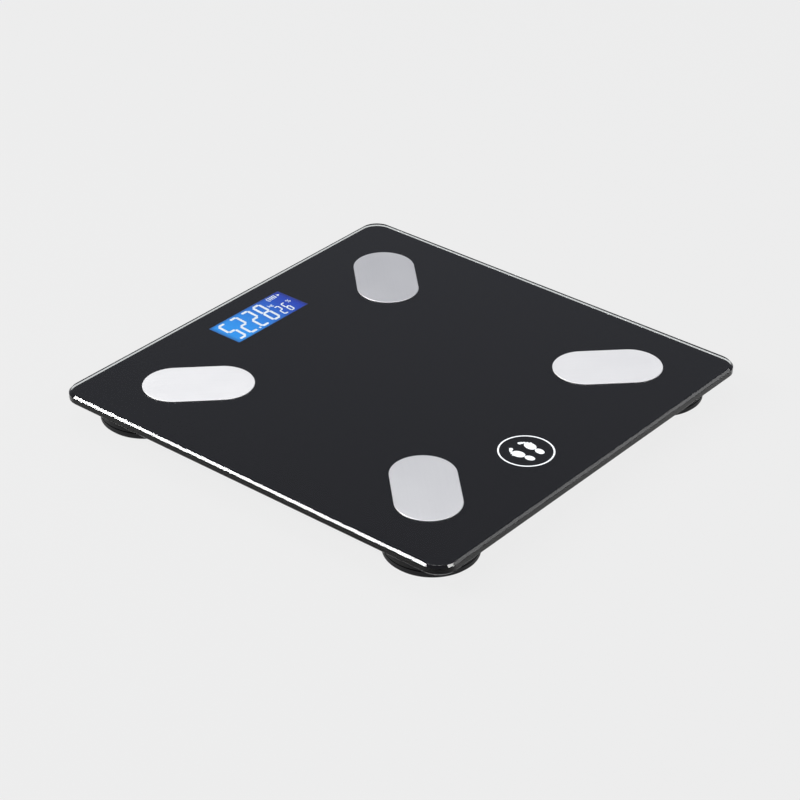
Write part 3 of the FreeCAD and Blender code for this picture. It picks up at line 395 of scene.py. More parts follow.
def brushed_steel(name, turn, middle, base, rough, depth=0.00005):
    """Steel brushed along one direction: long fine streaks, and a few broader ones."""
    f = Finish(name)
    fine = f.noise(1.0, f.place(turn, middle, (55.0, 5200.0, 55.0)), 4.0, 0.65)
    broad = f.noise(1.0, f.place(turn, middle, (16.0, 650.0, 16.0)), 3.0, 0.5)
    patch = f.noise(45.0, f.place(turn, middle), 3.0, 0.5)
    streaks = fine * 0.65 + broad * 0.35
    darker, lighter = varied(base, 0.07)
    return f.shade(
        Base_Color=f.blend(streaks * 0.8 + patch * 0.2, darker, lighter),
        Metallic=1.0,
        Roughness=fine * 0.10 + patch * 0.05 + rough,
        Normal=f.bump(streaks, depth, 0.8),
    )


def plated_steel(name, base, rough=0.22):
    """Bright plated steel with handling marks."""
    f = Finish(name)
    marks = f.noise(900.0, f.place(stretch=(1, 2.5, 1)), 4.0, 0.6)
    return f.shade(
        Base_Color=f.blend(f.noise(260.0), *varied(base, 0.08)),
        Metallic=1.0,
        Roughness=marks * 0.14 + rough,
        Normal=f.bump(marks, 0.00002, 0.3),
    )


def moulded_plastic(name, base, grain=5200.0, depth=0.00004, rough=0.42):
    """Spark-textured moulded plastic."""
    f = Finish(name)
    texture = f.noise(grain, None, 3.0, 0.6)
    broad = f.noise(55.0)
    return f.shade(
        Base_Color=f.blend(broad * 0.6 + texture * 0.4, *varied(base, 0.22)),
        Roughness=texture * 0.16 + broad * 0.06 + rough,
        Specular_IOR_Level=0.2,
        Normal=f.bump(texture, depth, 0.6),
    )


def sole_rubber(name="sole_rubber", base=None):
    """Matt rubber with a fine grain and a little dust."""
    f = Finish(name)
    base = base or tuple(settings("scale_under").rubber)
    grain = f.noise(7000.0, None, 3.0, 0.7)
    dust = f.noise(240.0).smooth(0.55, 0.85)
    return f.shade(
        Base_Color=f.blend(dust * 0.35, base, (0.06, 0.058, 0.055)),
        Roughness=grain * 0.1 + dust * 0.1 + 0.66,
        Specular_IOR_Level=0.15,
        Normal=f.bump(grain, 0.00005, 0.6),
    )


def circuit_board():
    """Solder mask over copper tracks, with tinned pads."""
    f = Finish("circuit_board")
    where = f.place()
    x, y, _ = f.axes(where)
    base = tuple(settings("scale_under").board)
    wander = f.noise(110.0, where, 1.0) * 0.004
    tracks = ((y + wander) * 620.0).math("SINE").abs().smooth(0.82, 0.9)
    cross = ((x - wander) * 480.0).math("SINE").abs().smooth(0.88, 0.94)
    zone = f.noise(60.0, where, 0.0).smooth(0.48, 0.52)
    copper = tracks * zone + cross * (1 - zone)
    pads = 1 - f.cells(330.0, where).smooth(0.10, 0.16)
    mask = f.blend(copper, base, tuple(min(1.0, c * 2.1) for c in base))
    return f.shade(
        Base_Color=f.blend(pads, mask, (0.62, 0.60, 0.55)),
        Metallic=pads,
        Roughness=f.noise(800.0) * 0.1 + 0.26,
        Normal=f.bump(copper * 0.6 + pads, 0.00005, 0.7),
    )


def wire_insulation(name):
    """Smooth insulation, each wire of a bundle in its own colour."""
    f = Finish(name)
    island = f.node("ShaderNodeNewGeometry")["Random Per Island"]
    shades = (
        (0.0, (0.50, 0.015, 0.012)),
        (0.25, (0.012, 0.012, 0.013)),
        (0.5, (0.72, 0.71, 0.68)),
        (0.75, (0.02, 0.12, 0.45)),
    )
    picked = f.node("ShaderNodeValToRGB", {"stops": shades}, {"Fac": island})
    picked.made.color_ramp.interpolation = "CONSTANT"
    scuffs = f.noise(700.0)
    return f.shade(
        Base_Color=f.blend(scuffs * 0.25, picked["Color"], (0.25, 0.25, 0.25)),
        Roughness=scuffs * 0.12 + 0.36,
    )


def soft_white(name, base, rough=0.5):
    """Nylon, silicone or acrylic that is nearly plain, with a little mottling."""
    f = Finish(name)
    mottle = f.noise(420.0)
    return f.shade(
        Base_Color=f.blend(mottle, *varied(base, 0.08)),
        Roughness=mottle * 0.14 + rough,
        Normal=f.bump(f.noise(3800.0), 0.00002, 0.4),
    )


def contact_rubber():
    """Display connector: rubber with fine conductive layers across it."""
    f = Finish("contact_rubber")
    x, _, _ = f.axes(f.place())
    layers = (x * 9000.0).math("SINE").smooth(-0.2, 0.2)
    return f.shade(
        Base_Color=f.blend(layers, (0.62, 0.36, 0.42), (0.05, 0.045, 0.05)),
        Roughness=f.noise(900.0) * 0.1 + 0.5,
    )


def battery_sleeve(low, high):
    """A printed sleeve with a plain band at its plus end and bare steel ends."""
    f = Finish("battery_sleeve")
    where = f.place()
    x, _, _ = f.axes(where)
    base = tuple(settings("scale_under").sleeve)
    share = (x - low) / (high - low)
    band = share.smooth(0.70, 0.705)
    ends = 1 - (share.smooth(0.012, 0.014) * (1 - share.smooth(0.955, 0.957)))
    print_colour = f.blend(band, base, (0.42, 0.43, 0.44))
    return f.shade(
        Base_Color=f.blend(ends, print_colour, (0.60, 0.60, 0.59)),
        Metallic=ends,
        Roughness=f.noise(900.0) * 0.08 + 0.24,
    )


def lit_display(middle, half_long, half_wide):
    """A backlit panel: bright beside its lamp, deeper away from it and towards its edges."""
    f = Finish("lit_display")
    s = settings("scale_display")
    where = f.place(middle=middle)
    x, y, _ = f.axes(where)
    across = x / half_long
    along = across * 0.5 + 0.5
    cloud = f.noise(75.0, where, 2.0) * 0.22 - 0.11
    fall = (along + cloud).smooth(0.1, 1.1)
    glow = f.blend(fall, tuple(s.bright), tuple(s.deep))
    edge_x = across.abs().smooth(0.86, 1.03)
    edge_y = (y / half_wide).abs().smooth(0.80, 1.08)
    edge = 1 - (1 - edge_x) * (1 - edge_y)
    tone = f.blend(edge * 0.72, glow, (0.004, 0.02, 0.16))
    return f.shade(
        Base_Color=(0.003, 0.006, 0.02),
        Roughness=f.noise(1500.0) * 0.1 + 0.3,
        Specular_IOR_Level=0.0,
        Emission_Color=tone,
        Emission_Strength=s.glow,
    )


def lit_segment():
    """A clear segment of the display, with the backlight showing through it."""
    f = Finish("lit_segment")
    s = settings("scale_display")
    base = tuple(s.segment)
    tone = f.blend(f.noise(900.0), varied(base, 0.08)[0], base)
    return f.shade(
        Base_Color=(0.4, 0.4, 0.4),
        Roughness=0.4,
        Emission_Color=tone,
        Emission_Strength=0.85 * s.glow,
    )


# ------------------------------------------------------------------ modelling helpers


def round_segments():
    """Facets round a full circle."""
    return settings("scale_stage").segments


def outline(bm, half_x, half_y, radius, level, middle=(0, 0), keep=False):
    """A rectangle with round corners at a level. Returns its edges, and its face if kept."""
    matrix = Matrix.Translation((*middle, level)) @ Matrix.Diagonal((half_x, half_y, 1, 1))
    made = bmesh.ops.create_grid(bm, x_segments=1, y_segments=1, size=1.0, matrix=matrix)
    if radius:
        made = bmesh.ops.bevel(
            bm, geom=made["verts"], offset=radius, offset_type="OFFSET", profile=0.5,
            material=-1, segments=round_segments() // 4, affect="VERTICES", clamp_overlap=True,
        )
    face = made["verts"][0].link_faces[0]
    edges = list(face.edges)
    if keep:
        return edges, face
    bmesh.ops.delete(bm, geom=[face], context="FACES_ONLY")
    return edges


def ring(bm, radius, middle, level, segments=48):
    """A circle's edges at a level."""
    matrix = Matrix.Translation((*middle, level))
    made = bmesh.ops.create_circle(
        bm, cap_ends=False, segments=segments, radius=radius, matrix=matrix
    )
    return list({e for v in made["verts"] for e in v.link_edges})


def pull_apart(bm, verts, reach):
    """Moves the left and the right half of a round away from each other."""
    for side in (-1, 1):
        half = [v for v in verts if v.co.x * side > 0]
        bmesh.ops.translate(bm, vec=(side * reach, 0, 0), verts=half)


def stadium(bm, half_long, radius, level, middle=(0, 0), turn=0.0):
    """A round-ended plate's outline as one face."""
    count = round_segments()
    start = Matrix.Rotation(math.pi / count, 4, "Z")
    made = bmesh.ops.create_circle(
        bm, cap_ends=True, segments=count, radius=radius, matrix=start
    )
    verts = made["verts"]
    pull_apart(bm, verts, half_long - radius)
    place = Matrix.Translation((*middle, level)) @ Matrix.Rotation(turn, 4, "Z")
    bmesh.ops.transform(bm, matrix=place, verts=verts)
    return verts[0].link_faces[0]


def thicken(bm, faces, height):
    """Raises copies of flat faces by a height and closes the sides."""
    made = bmesh.ops.extrude_face_region(bm, geom=faces)
    top = [g for g in made["geom"] if isinstance(g, bmesh.types.BMVert)]
    bmesh.ops.translate(bm, vec=(0, 0, height), verts=top)
    bm.normal_update()


def round_rim(bm, level, radius, segments=5):
    """Rounds the edges between a level's flat faces and their sides."""
    rims = [
        e for e in bm.edges
        if all(abs(v.co.z - level) < 1e-7 for v in e.verts) and e.calc_face_angle(0) > SHARP
    ]
    bmesh.ops.bevel(
        bm, geom=rims, offset=radius, offset_type="OFFSET", profile=0.5, material=-1,
        segments=segments, affect="EDGES", clamp_overlap=True,
    )


def lathe(bm, profile, middle, segments, axis):
    """Turns a profile of (radius, height) points about an axis through middle."""
    verts = [bm.verts.new((radius, 0, height)) for radius, height in profile]
    edges = [bm.edges.new(pair) for pair in zip(verts, verts[1:])]
    bmesh.ops.spin(
        bm, geom=verts + edges, cent=(0, 0, 0), axis=(0, 0, 1), angle=FULL_TURN,
        steps=segments, use_merge=True, use_duplicate=False,
    )
    bmesh.ops.remove_doubles(bm, verts=bm.verts[:], dist=1e-7)
    lean = Vector((0, 0, 1)).rotation_difference(Vector(axis)).to_matrix().to_4x4()
    bmesh.ops.transform(bm, matrix=Matrix.Translation(middle) @ lean, verts=bm.verts[:])


def face_outward(bm):
    """Turns the faces of every closed shell outward."""
    bmesh.ops.recalc_face_normals(bm, faces=bm.faces[:])
    left = set(bm.faces)
    while left:
        front = [left.pop()]
        shell = []
        while front:
            face = front.pop()
            shell.append(face)
            near = {other for edge in face.edges for other in edge.link_faces} & left
            left -= near
            front.extend(near)
        volume = sum(f.calc_center_median().dot(f.normal) * f.calc_area() for f in shell)
        if volume < 0:
            bmesh.ops.reverse_faces(bm, faces=shell)


def piece(name, bm, finishes, body, stands_for=()):
    face_outward(bm)
    open_edges = [e for e in bm.edges if len(e.link_faces) != 2]
    if open_edges:
        raise RuntimeError(f"{name} has {len(open_edges)} open edges")
    mesh = bpy.data.meshes.new(name)
    bm.to_mesh(mesh)
    bm.free()
    mesh.shade_smooth()
    mesh.set_sharp_from_angle(angle=SHARP)
    for finish in finishes:
        mesh.materials.append(finish)
    obj = bpy.data.objects.new(name, mesh)
    bpy.context.scene.collection.objects.link(obj)
    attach(obj, body)
    if stands_for:
        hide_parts(*stands_for)
    return obj


def true_flats(obj):
    """Shades large flat faces as flat, and leaves the turn to the small ones between them."""
    weigh = obj.modifiers.new("true_flats", "WEIGHTED_NORMAL")
    weigh.mode = "FACE_AREA"
    weigh.weight = 100
    weigh.keep_sharp = True


def middle_of(node):
    """The middle of a node's box."""
    low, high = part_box(node)
    return (Vector(low) + Vector(high)) / 2


# ------------------------------------------------------------------ the platform


class SCALE_OT_glass_plate(Operator):
    """Model the glass plate, with its chamfers, stud holes and printed back"""

    bl_idname = "bathroom_scale.glass_plate"
    bl_label = "Glass plate"

    def execute(self, context):
        s = settings("scale_plate")
        low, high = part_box("glass_platform")
        half = (high[0] - low[0]) / 2
        bottom, top = low[2] + s.clearance, high[2]
        window_low, window_high = self.window()
        bm = bmesh.new()
        profile = (
            Vector((half, bottom)), Vector((s.low_chamfer, bottom)),
            Vector((0.0, low[2] + s.low_chamfer)), Vector((0.0, top - s.chamfer)),
            Vector((s.chamfer, top)), Vector((half, top)),
        )
        loops = [
            outline(bm, half - inset, half - inset, s.corner - inset, level)
            for inset, level in self.softened(profile, s.soften)
        ]
        for under, over in zip(loops, loops[1:]):
            bmesh.ops.bridge_loops(bm, edges=under + over)
        holes = {bottom: [], top: []}
        for place in self.studs():
            rims = [ring(bm, s.hole, place, level) for level in (bottom, top)]
            bmesh.ops.bridge_loops(bm, edges=rims[0] + rims[1])
            holes[bottom] += rims[0]
            holes[top] += rims[1]
        size = (window_high - window_low) / 2
        middle = (window_high + window_low) / 2
        window, face = outline(bm, size.x, size.y, 0.0, bottom, middle.xy, keep=True)
        bmesh.ops.triangle_fill(bm, use_beauty=True, edges=loops[-1] + holes[top])
        printed = bmesh.ops.triangle_fill(
            bm, use_beauty=True, edges=loops[0] + holes[bottom] + window
        )
        for made in printed["geom"]:
            if isinstance(made, bmesh.types.BMFace):
                made.material_index = 1
        face.material_index = 3
        bm.normal_update()
        for side in bm.faces:
            if abs(side.normal.z) < 0.2 and side.calc_center_median().xy.length > half * 0.98:
                side.material_index = 2
        plate = piece(
            "glass_plate", bm,
            # Painted shade: the side faces' glass reflects only 0.3 as much, darkened to stand
            # in for the shade around the plate.
            (clear_glass(), back_print(), clear_glass("side_glass_painted_shade", 0.3),
             clear_glass("window_glass", 0.0)),
            "platform", ("glass_platform",),
        )
        true_flats(plate)
        return {"FINISHED"}

    def softened(self, profile, reach):
        """The profile's inner points, each replaced by a small curve."""
        for before, here, after in zip(profile, profile[1:], profile[2:]):
            start = here + (before - here).normalized() * reach
            end = here + (after - here).normalized() * reach
            for step in range(5):
                t = step / 4
                yield start * (1 - t) ** 2 + here * (2 * t * (1 - t)) + end * t ** 2

    def studs(self):
        """Where the electrodes' studs go through."""
        low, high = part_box("electrode_studs")
        reach = (high[0] - low[0]) / 2 - 1.5 * MM
        return [(sx * reach, sy * reach) for sx, sy in CORNERS.values()]

    def window(self):
        """The display's window: the panel's box less what the film laps over."""
        low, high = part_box("lcd_panel")
        lap = Vector((FILM_LAP, FILM_LAP, 0))
        return Vector(low) + lap, Vector(high) - lap


class SCALE_OT_electrodes(Operator):
    """Model the four brushed steel electrodes"""

    bl_idname = "bathroom_scale.electrodes"
    bl_label = "Electrodes"

    def execute(self, context):
        s = settings("scale_electrodes")
        for corner, (sx, sy) in CORNERS.items():
            node = "electrode_" + corner
            low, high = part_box(node)
            middle = middle_of(node)
            turn = math.atan2(sy, sx)
            side = high[0] - low[0]
            radius = s.wide / 2
            half_long = (side / 2 - radius) * math.sqrt(2) + radius
            bm = bmesh.new()
            face = stadium(bm, half_long, radius, low[2], middle.xy, turn)
            thicken(bm, [face], high[2] - low[2])
            round_rim(bm, high[2], s.rim)
            round_rim(bm, low[2], s.rim * 0.2, 2)
            rough = s.along if sx == sy else s.across
            finish = brushed_steel("brushed_" + corner, turn, middle, tuple(s.steel), rough)
            plate = piece(node + "_plate", bm, (finish,), "platform", (node,))
            true_flats(plate)
        return {"FINISHED"}


class SCALE_OT_standing_mark(Operator):
    """Print a plain standing mark on the glass: two soles in a ring"""

    bl_idname = "bathroom_scale.standing_mark"
    bl_label = "Standing mark"

    def execute(self, context):
        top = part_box("glass_platform")[1][2]
        middle = Vector((*MARK_MIDDLE, top))
        radius = MARK_LOOK["ring"]
        bm = bmesh.new()
        outer = ring(bm, radius, middle.xy, top, 96)
        inner = ring(bm, radius - MARK_LOOK["line"], middle.xy, top, 96)
        bmesh.ops.bridge_loops(bm, edges=outer + inner)
        for side in (-1, 1):
            self.sole(bm, middle, side)
        thicken(bm, bm.faces[:], MARK_LOOK["ink"])
        piece("standing_mark", bm, (white_print_painted_glow(),), "platform")
        return {"FINISHED"}

    def sole(self, bm, middle, side):
        """A ball, a heel and five toes, turned outwards a little."""
        turn = Matrix.Rotation(-side * math.radians(9), 4, "Z")
        base = Matrix.Translation(middle + Vector((side * 5.6 * MM, -0.8 * MM, 0))) @ turn
        shapes = [((-side * 0.2, 2.2), 3.1, 4.3), ((side * 0.1, -5.6), 2.3, 3.3)]
        for step in range(5):
            reach = -2.9 + 1.35 * step
            rise = 8.6 - 0.34 * step - 0.18 * step * step
            shapes.append(((side * reach, rise), 1.05 - 0.12 * step, 1.25 - 0.14 * step))
        for (x, y), wide, high in shapes:
            place = base @ Matrix.Translation((x * MM, y * MM, 0))
            size = Matrix.Diagonal((wide * MM, high * MM, 1, 1))
            bmesh.ops.create_circle(
                bm, cap_ends=True, segments=40, radius=1.0, matrix=place @ size
            )


# ------------------------------------------------------------------ the display


SEGMENTS = {
    "0": "abcdef", "1": "bc", "2": "abged", "3": "abgcd", "4": "fgbc",
    "5": "afgcd", "6": "afgedc", "7": "abc", "8": "abcdefg", "9": "abcdfg",
}
# Figures and how far their left ends stand from the display's middle, in mm.
READING = (("5", -30.1), ("2", -19.4), ("2", -8.4), ("8", 2.4))
SMALL_READING = (("2", 13.4), ("6", 19.6))
SMALL_FIGURE = (4.0 * MM, 11.4 * MM, 1.05 * MM)  # width, height and stroke
POINT = (-9.9 * MM, 0.9 * MM, 0.85 * MM)  # left or right, up from the baseline, radius
BASELINE = -11.1 * MM
SLANT = math.radians(5.6)
SEGMENT_THICK = 0.06 * MM


class SCALE_OT_display(Operator):
    """Model the lit panel and its digits"""

    bl_idname = "bathroom_scale.display"
    bl_label = "Display"

    def execute(self, context):
        low, high = map(Vector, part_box("lcd_panel"))
        middle = (low + high) / 2
        size = high - low
        bm = bmesh.new()
        matrix = Matrix.Translation(middle) @ Matrix.Diagonal((*size, 1))
        bmesh.ops.create_cube(bm, size=1.0, matrix=matrix)
        bmesh.ops.bevel(
            bm, geom=bm.edges[:], offset=0.25 * MM, offset_type="OFFSET", profile=0.5,
            material=-1, segments=2, affect="EDGES", clamp_overlap=True,
        )
        finish = lit_display(middle, size.x / 2 - FILM_LAP, size.y / 2 - FILM_LAP)
        piece("display_panel", bm, (finish,), "platform", ("lcd_panel",))
        self.level = high.z + 0.03 * MM
        self.middle = middle
        self.digits()
        self.signs()
        return {"FINISHED"}

    def bar(self, bm, start, end, width, base):
        """A segment with pointed ends between two points of the reading's plane."""
        start, end = Vector(start), Vector(end)
        along = end - start
        radius = width / math.sqrt(3)
        turn = Matrix.Rotation(math.radians(30), 4, "Z")
        made = bmesh.ops.create_circle(
            bm, cap_ends=True, segments=6, radius=radius, matrix=turn
        )
        verts = made["verts"]
        pull_apart(bm, verts, along.length / 2 - radius)
        lie = Matrix.Rotation(math.atan2(along.y, along.x), 4, "Z")
        centre = (start + end) / 2
        place = Matrix.Translation((centre.x, centre.y, 0)) @ lie
        bmesh.ops.transform(bm, matrix=base @ place, verts=verts)

    def sheared(self, left, bottom):
        """Places a digit's own frame at its lower left corner, leaning to the right."""
        lean = Matrix.Identity(4)
        lean[0][1] = math.tan(SLANT)
        return Matrix.Translation((left, bottom, self.level)) @ lean

    def digit(self, bm, figure, left, bottom, wide, high, stroke):
        """The lit segments of one figure."""
        base = self.sheared(left, bottom)
        inset, gap = stroke / 2, stroke * 0.14
        west, east = inset, wide - inset
        south, centre, north = inset, high / 2, high - inset
        ends = {
            "a": ((west, north), (east, north)),
            "g": ((west, centre), (east, centre)),
            "d": ((west, south), (east, south)),
            "f": ((west, centre), (west, north)),
            "b": ((east, centre), (east, north)),
            "e": ((west, south), (west, centre)),
            "c": ((east, south), (east, centre)),
        }
        for letter in SEGMENTS[figure]:
            start, end = map(Vector, ends[letter])
            trim = (end - start).normalized() * gap
            self.bar(bm, start + trim, end - trim, stroke, base)

    def digits(self):
        s = settings("scale_display")
        bottom = self.middle.y + BASELINE
        bm = bmesh.new()
        for figure, left in READING:
            self.digit(bm, figure, left * MM, bottom, s.digit_wide, s.digit_high, s.stroke)
        for figure, left in SMALL_READING:
            self.digit(bm, figure, left * MM, bottom + 0.2 * MM, *SMALL_FIGURE)
        x, rise, radius = POINT
        point = Matrix.Translation((x, bottom + rise, self.level))
        bmesh.ops.create_circle(bm, cap_ends=True, segments=32, radius=radius, matrix=point)
        thicken(bm, bm.faces[:], SEGMENT_THICK)
        piece("display_digits", bm, (lit_segment(),), "platform")

    def signs(self):
        """The unit, the percent sign and a row of level bars between brackets."""
        finish = lit_segment()
        self.sign("kg", 3.4, 13.1, 6.0, "display_unit", finish)
        self.sign("%", 4.0, 25.8, 1.2, "display_percent", finish)
        bm = bmesh.new()
        base = self.sheared(19.6 * MM, self.middle.y + 7.6 * MM)
        for step in range(4):
            x = (1.6 + 1.65 * step) * MM
            self.bar(bm, (x, 0.4 * MM), (x, 4.4 * MM), 0.85 * MM, base)
        points = [(0.3 * MM, 0), (-0.8 * MM, 2.4 * MM), (0.3 * MM, 4.8 * MM)]
        for start, end in zip(points, points[1:]):
            self.bar(bm, start, end, 0.6 * MM, base)
        turn = Matrix.Rotation(math.pi / 6, 4, "Z")
        pointer = base @ Matrix.Translation((9.4 * MM, 2.2 * MM, 0)) @ turn
        bmesh.ops.create_circle(bm, cap_ends=True, segments=3, radius=1.5 * MM, matrix=pointer)
        thicken(bm, bm.faces[:], SEGMENT_THICK)
        piece("display_bars", bm, (finish,), "platform")

    def sign(self, words, high, left, up, name, finish):
        """A short unit sign, as flat raised letters."""
        curve = bpy.data.curves.new(name, "FONT")
        curve.body = words
        curve.size = high * 1.25 * MM
        curve.extrude = SEGMENT_THICK / 2
        curve.resolution_u = 6
        letters = bpy.data.objects.new(name + "_letters", curve)
        bpy.context.scene.collection.objects.link(letters)
        bpy.context.view_layer.update()
        flat = bpy.data.meshes.new_from_object(letters)
        bpy.data.objects.remove(letters)
        bm = bmesh.new()
        bm.from_mesh(flat)
        bpy.data.meshes.remove(flat)
        bmesh.ops.remove_doubles(bm, verts=bm.verts[:], dist=1e-7)
        base = self.sheared(left * MM, self.middle.y + up * MM - 3.4 * MM)
        shift = Matrix.Translation((0, 0, SEGMENT_THICK / 2))
        bmesh.ops.transform(bm, matrix=base @ shift, verts=bm.verts[:])
        piece(name, bm, (finish,), "platform")


# ------------------------------------------------------------------ below the glass


class SCALE_OT_batteries(Operator):
    """Model the two batteries with their sleeves, crimps and caps"""

    bl_idname = "bathroom_scale.batteries"
    bl_label = "Batteries"

    def execute(self, context):
        for node in ("battery_front", "battery_back"):
            low, high = map(Vector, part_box(node))
            middle = (low + high) / 2
            radius = (high.z - low.z) / 2
            long = high.x - low.x
            way = 1 if node == "battery_front" else -1
            tail = middle - Vector((way * long / 2, 0, 0))
            bm = bmesh.new()
            r = radius
            profile = (
                (0.0, 0.25 * MM), (r * 0.72, 0.25 * MM), (r * 0.78, 0.0), (r * 0.94, 0.0),
                (r, 0.35 * MM), (r, long - 1.6 * MM), (r * 0.95, long - 1.15 * MM),
                (r * 0.80, long - 1.0 * MM), (r * 0.78, long - 1.2 * MM),
                (r * 0.38, long - 1.2 * MM), (r * 0.36, long - 0.2 * MM),
                (r * 0.30, long), (0.0, long),
            )
            lathe(bm, profile, tail, 64, (way, 0, 0))
            ends = (low.x, high.x) if way > 0 else (high.x, low.x)
            finish = battery_sleeve(*ends)
            piece(node + "_cell", bm, (finish,), "platform", (node,))
        return {"FINISHED"}


class SCALE_OT_door_mark(Operator):
    """Model the raised arrow on the battery door and the blank rating plate"""

    bl_idname = "bathroom_scale.door_mark"
    bl_label = "Door arrow and rating plate"

    def execute(self, context):
        plastic = moulded_plastic("arrow_plastic", tuple(settings("scale_under").plastic))
        raised, ahead = 0.25 * MM, 4.2 * MM
        bm = bmesh.new()
        place = Matrix.Translation((0, ahead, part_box("battery_door")[0][2] - raised))
        bmesh.ops.create_circle(
            bm, cap_ends=True, segments=3, radius=2.4 * MM, matrix=place
        )
        thicken(bm, bm.faces[:], raised)
        piece("door_arrow", bm, (plastic,), "battery_door")
        foil, middle = 0.1 * MM, (0, -34 * MM)
        bm = bmesh.new()
        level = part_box("center_housing")[0][2] - foil
        _, face = outline(bm, 22 * MM, 11 * MM, 1.5 * MM, level, middle, keep=True)
        thicken(bm, [face], foil)
        label = plated_steel("rating_foil", (0.62, 0.63, 0.64), 0.3)
        piece("rating_plate", bm, (label,), "platform")
        return {"FINISHED"}


class SCALE_OT_cad_finishes(Operator):
    """Give every carried-over piece its finish"""

    bl_idname = "bathroom_scale.cad_finishes"
    bl_label = "Finishes of the carried-over pieces"

    def execute(self, context):
        under = settings("scale_under")
        plastic = tuple(under.plastic)
        by_slot = {
            "platform_glass": clear_glass,
            "black_print": print_film,
            "foot_plastic": lambda: moulded_plastic("foot_plastic", plastic, 4200.0),
            "sole_rubber": sole_rubber,
            "cell_steel": lambda: plated_steel("cell_steel", (0.55, 0.56, 0.57), 0.3),
            "channel_plastic": lambda: moulded_plastic("channel_plastic", plastic, 3600.0),
            "lead_insulation": lambda: wire_insulation("wire_insulation"),
            "foam_tape": lambda: sole_rubber("foam_tape", (0.16, 0.16, 0.17)),
            "fixing_steel": lambda: plated_steel("fixing_steel", (0.66, 0.66, 0.65)),
            "terminal_brass": lambda: plated_steel("terminal_brass", (0.70, 0.62, 0.42), 0.26),
            "gauge_silicone": lambda: soft_white("gauge_silicone", (0.78, 0.78, 0.75)),
            "housing_plastic": lambda: moulded_plastic("housing_plastic", plastic, 2600.0,
                                                       0.00006),
            "contact_steel": lambda: plated_steel("contact_steel", (0.64, 0.64, 0.63), 0.2),
            "light_guide_acrylic": lambda: soft_white("light_guide", (0.70, 0.78, 0.88), 0.3),
            "strip_rubber": contact_rubber,
            "board_laminate": circuit_board,
            "chip_resin": lambda: moulded_plastic("chip_resin", (0.012, 0.012, 0.013), 900.0,
                                                  0.00002, 0.2),
            "socket_nylon": lambda: soft_white("socket_nylon", (0.74, 0.71, 0.62)),
            "button_plastic": lambda: moulded_plastic("button_plastic", (0.14, 0.145, 0.15)),
        }
        made = {}
        for entry in frame["record"]["subparts"]:
            node, slot = entry["node"], entry["material_slot"]
            obj = frame["nodes"][node]
            if slot not in by_slot:
                continue
            if slot not in made:
                made[slot] = by_slot[slot]()
            obj.data.materials.clear()
            obj.data.materials.append(made[slot])
        return {"FINISHED"}


# ------------------------------------------------------------------ the stage


# How far each light stands, how far it reaches past what it lights, and how bright it looks.
SIDE_STRIP = {"reach": 1.7, "margin": 0.42, "radiance": 25.0}
FRONT_FILL = {"reach": 1.7, "margin": 0.42, "radiance": 2.1}
CORNER_GLINT = {"reach": 1.5, "margin": 0.12, "radiance": 14.0}
GLINT_FROM_TO = (66, 80)  # degrees round the corner, from the left edge to the front edge
OVERHEAD = {"wide": 1.3, "high": 1.3, "radiance": 2.6}
ABOVE = Vector((0.18, 0.15, 1.6))

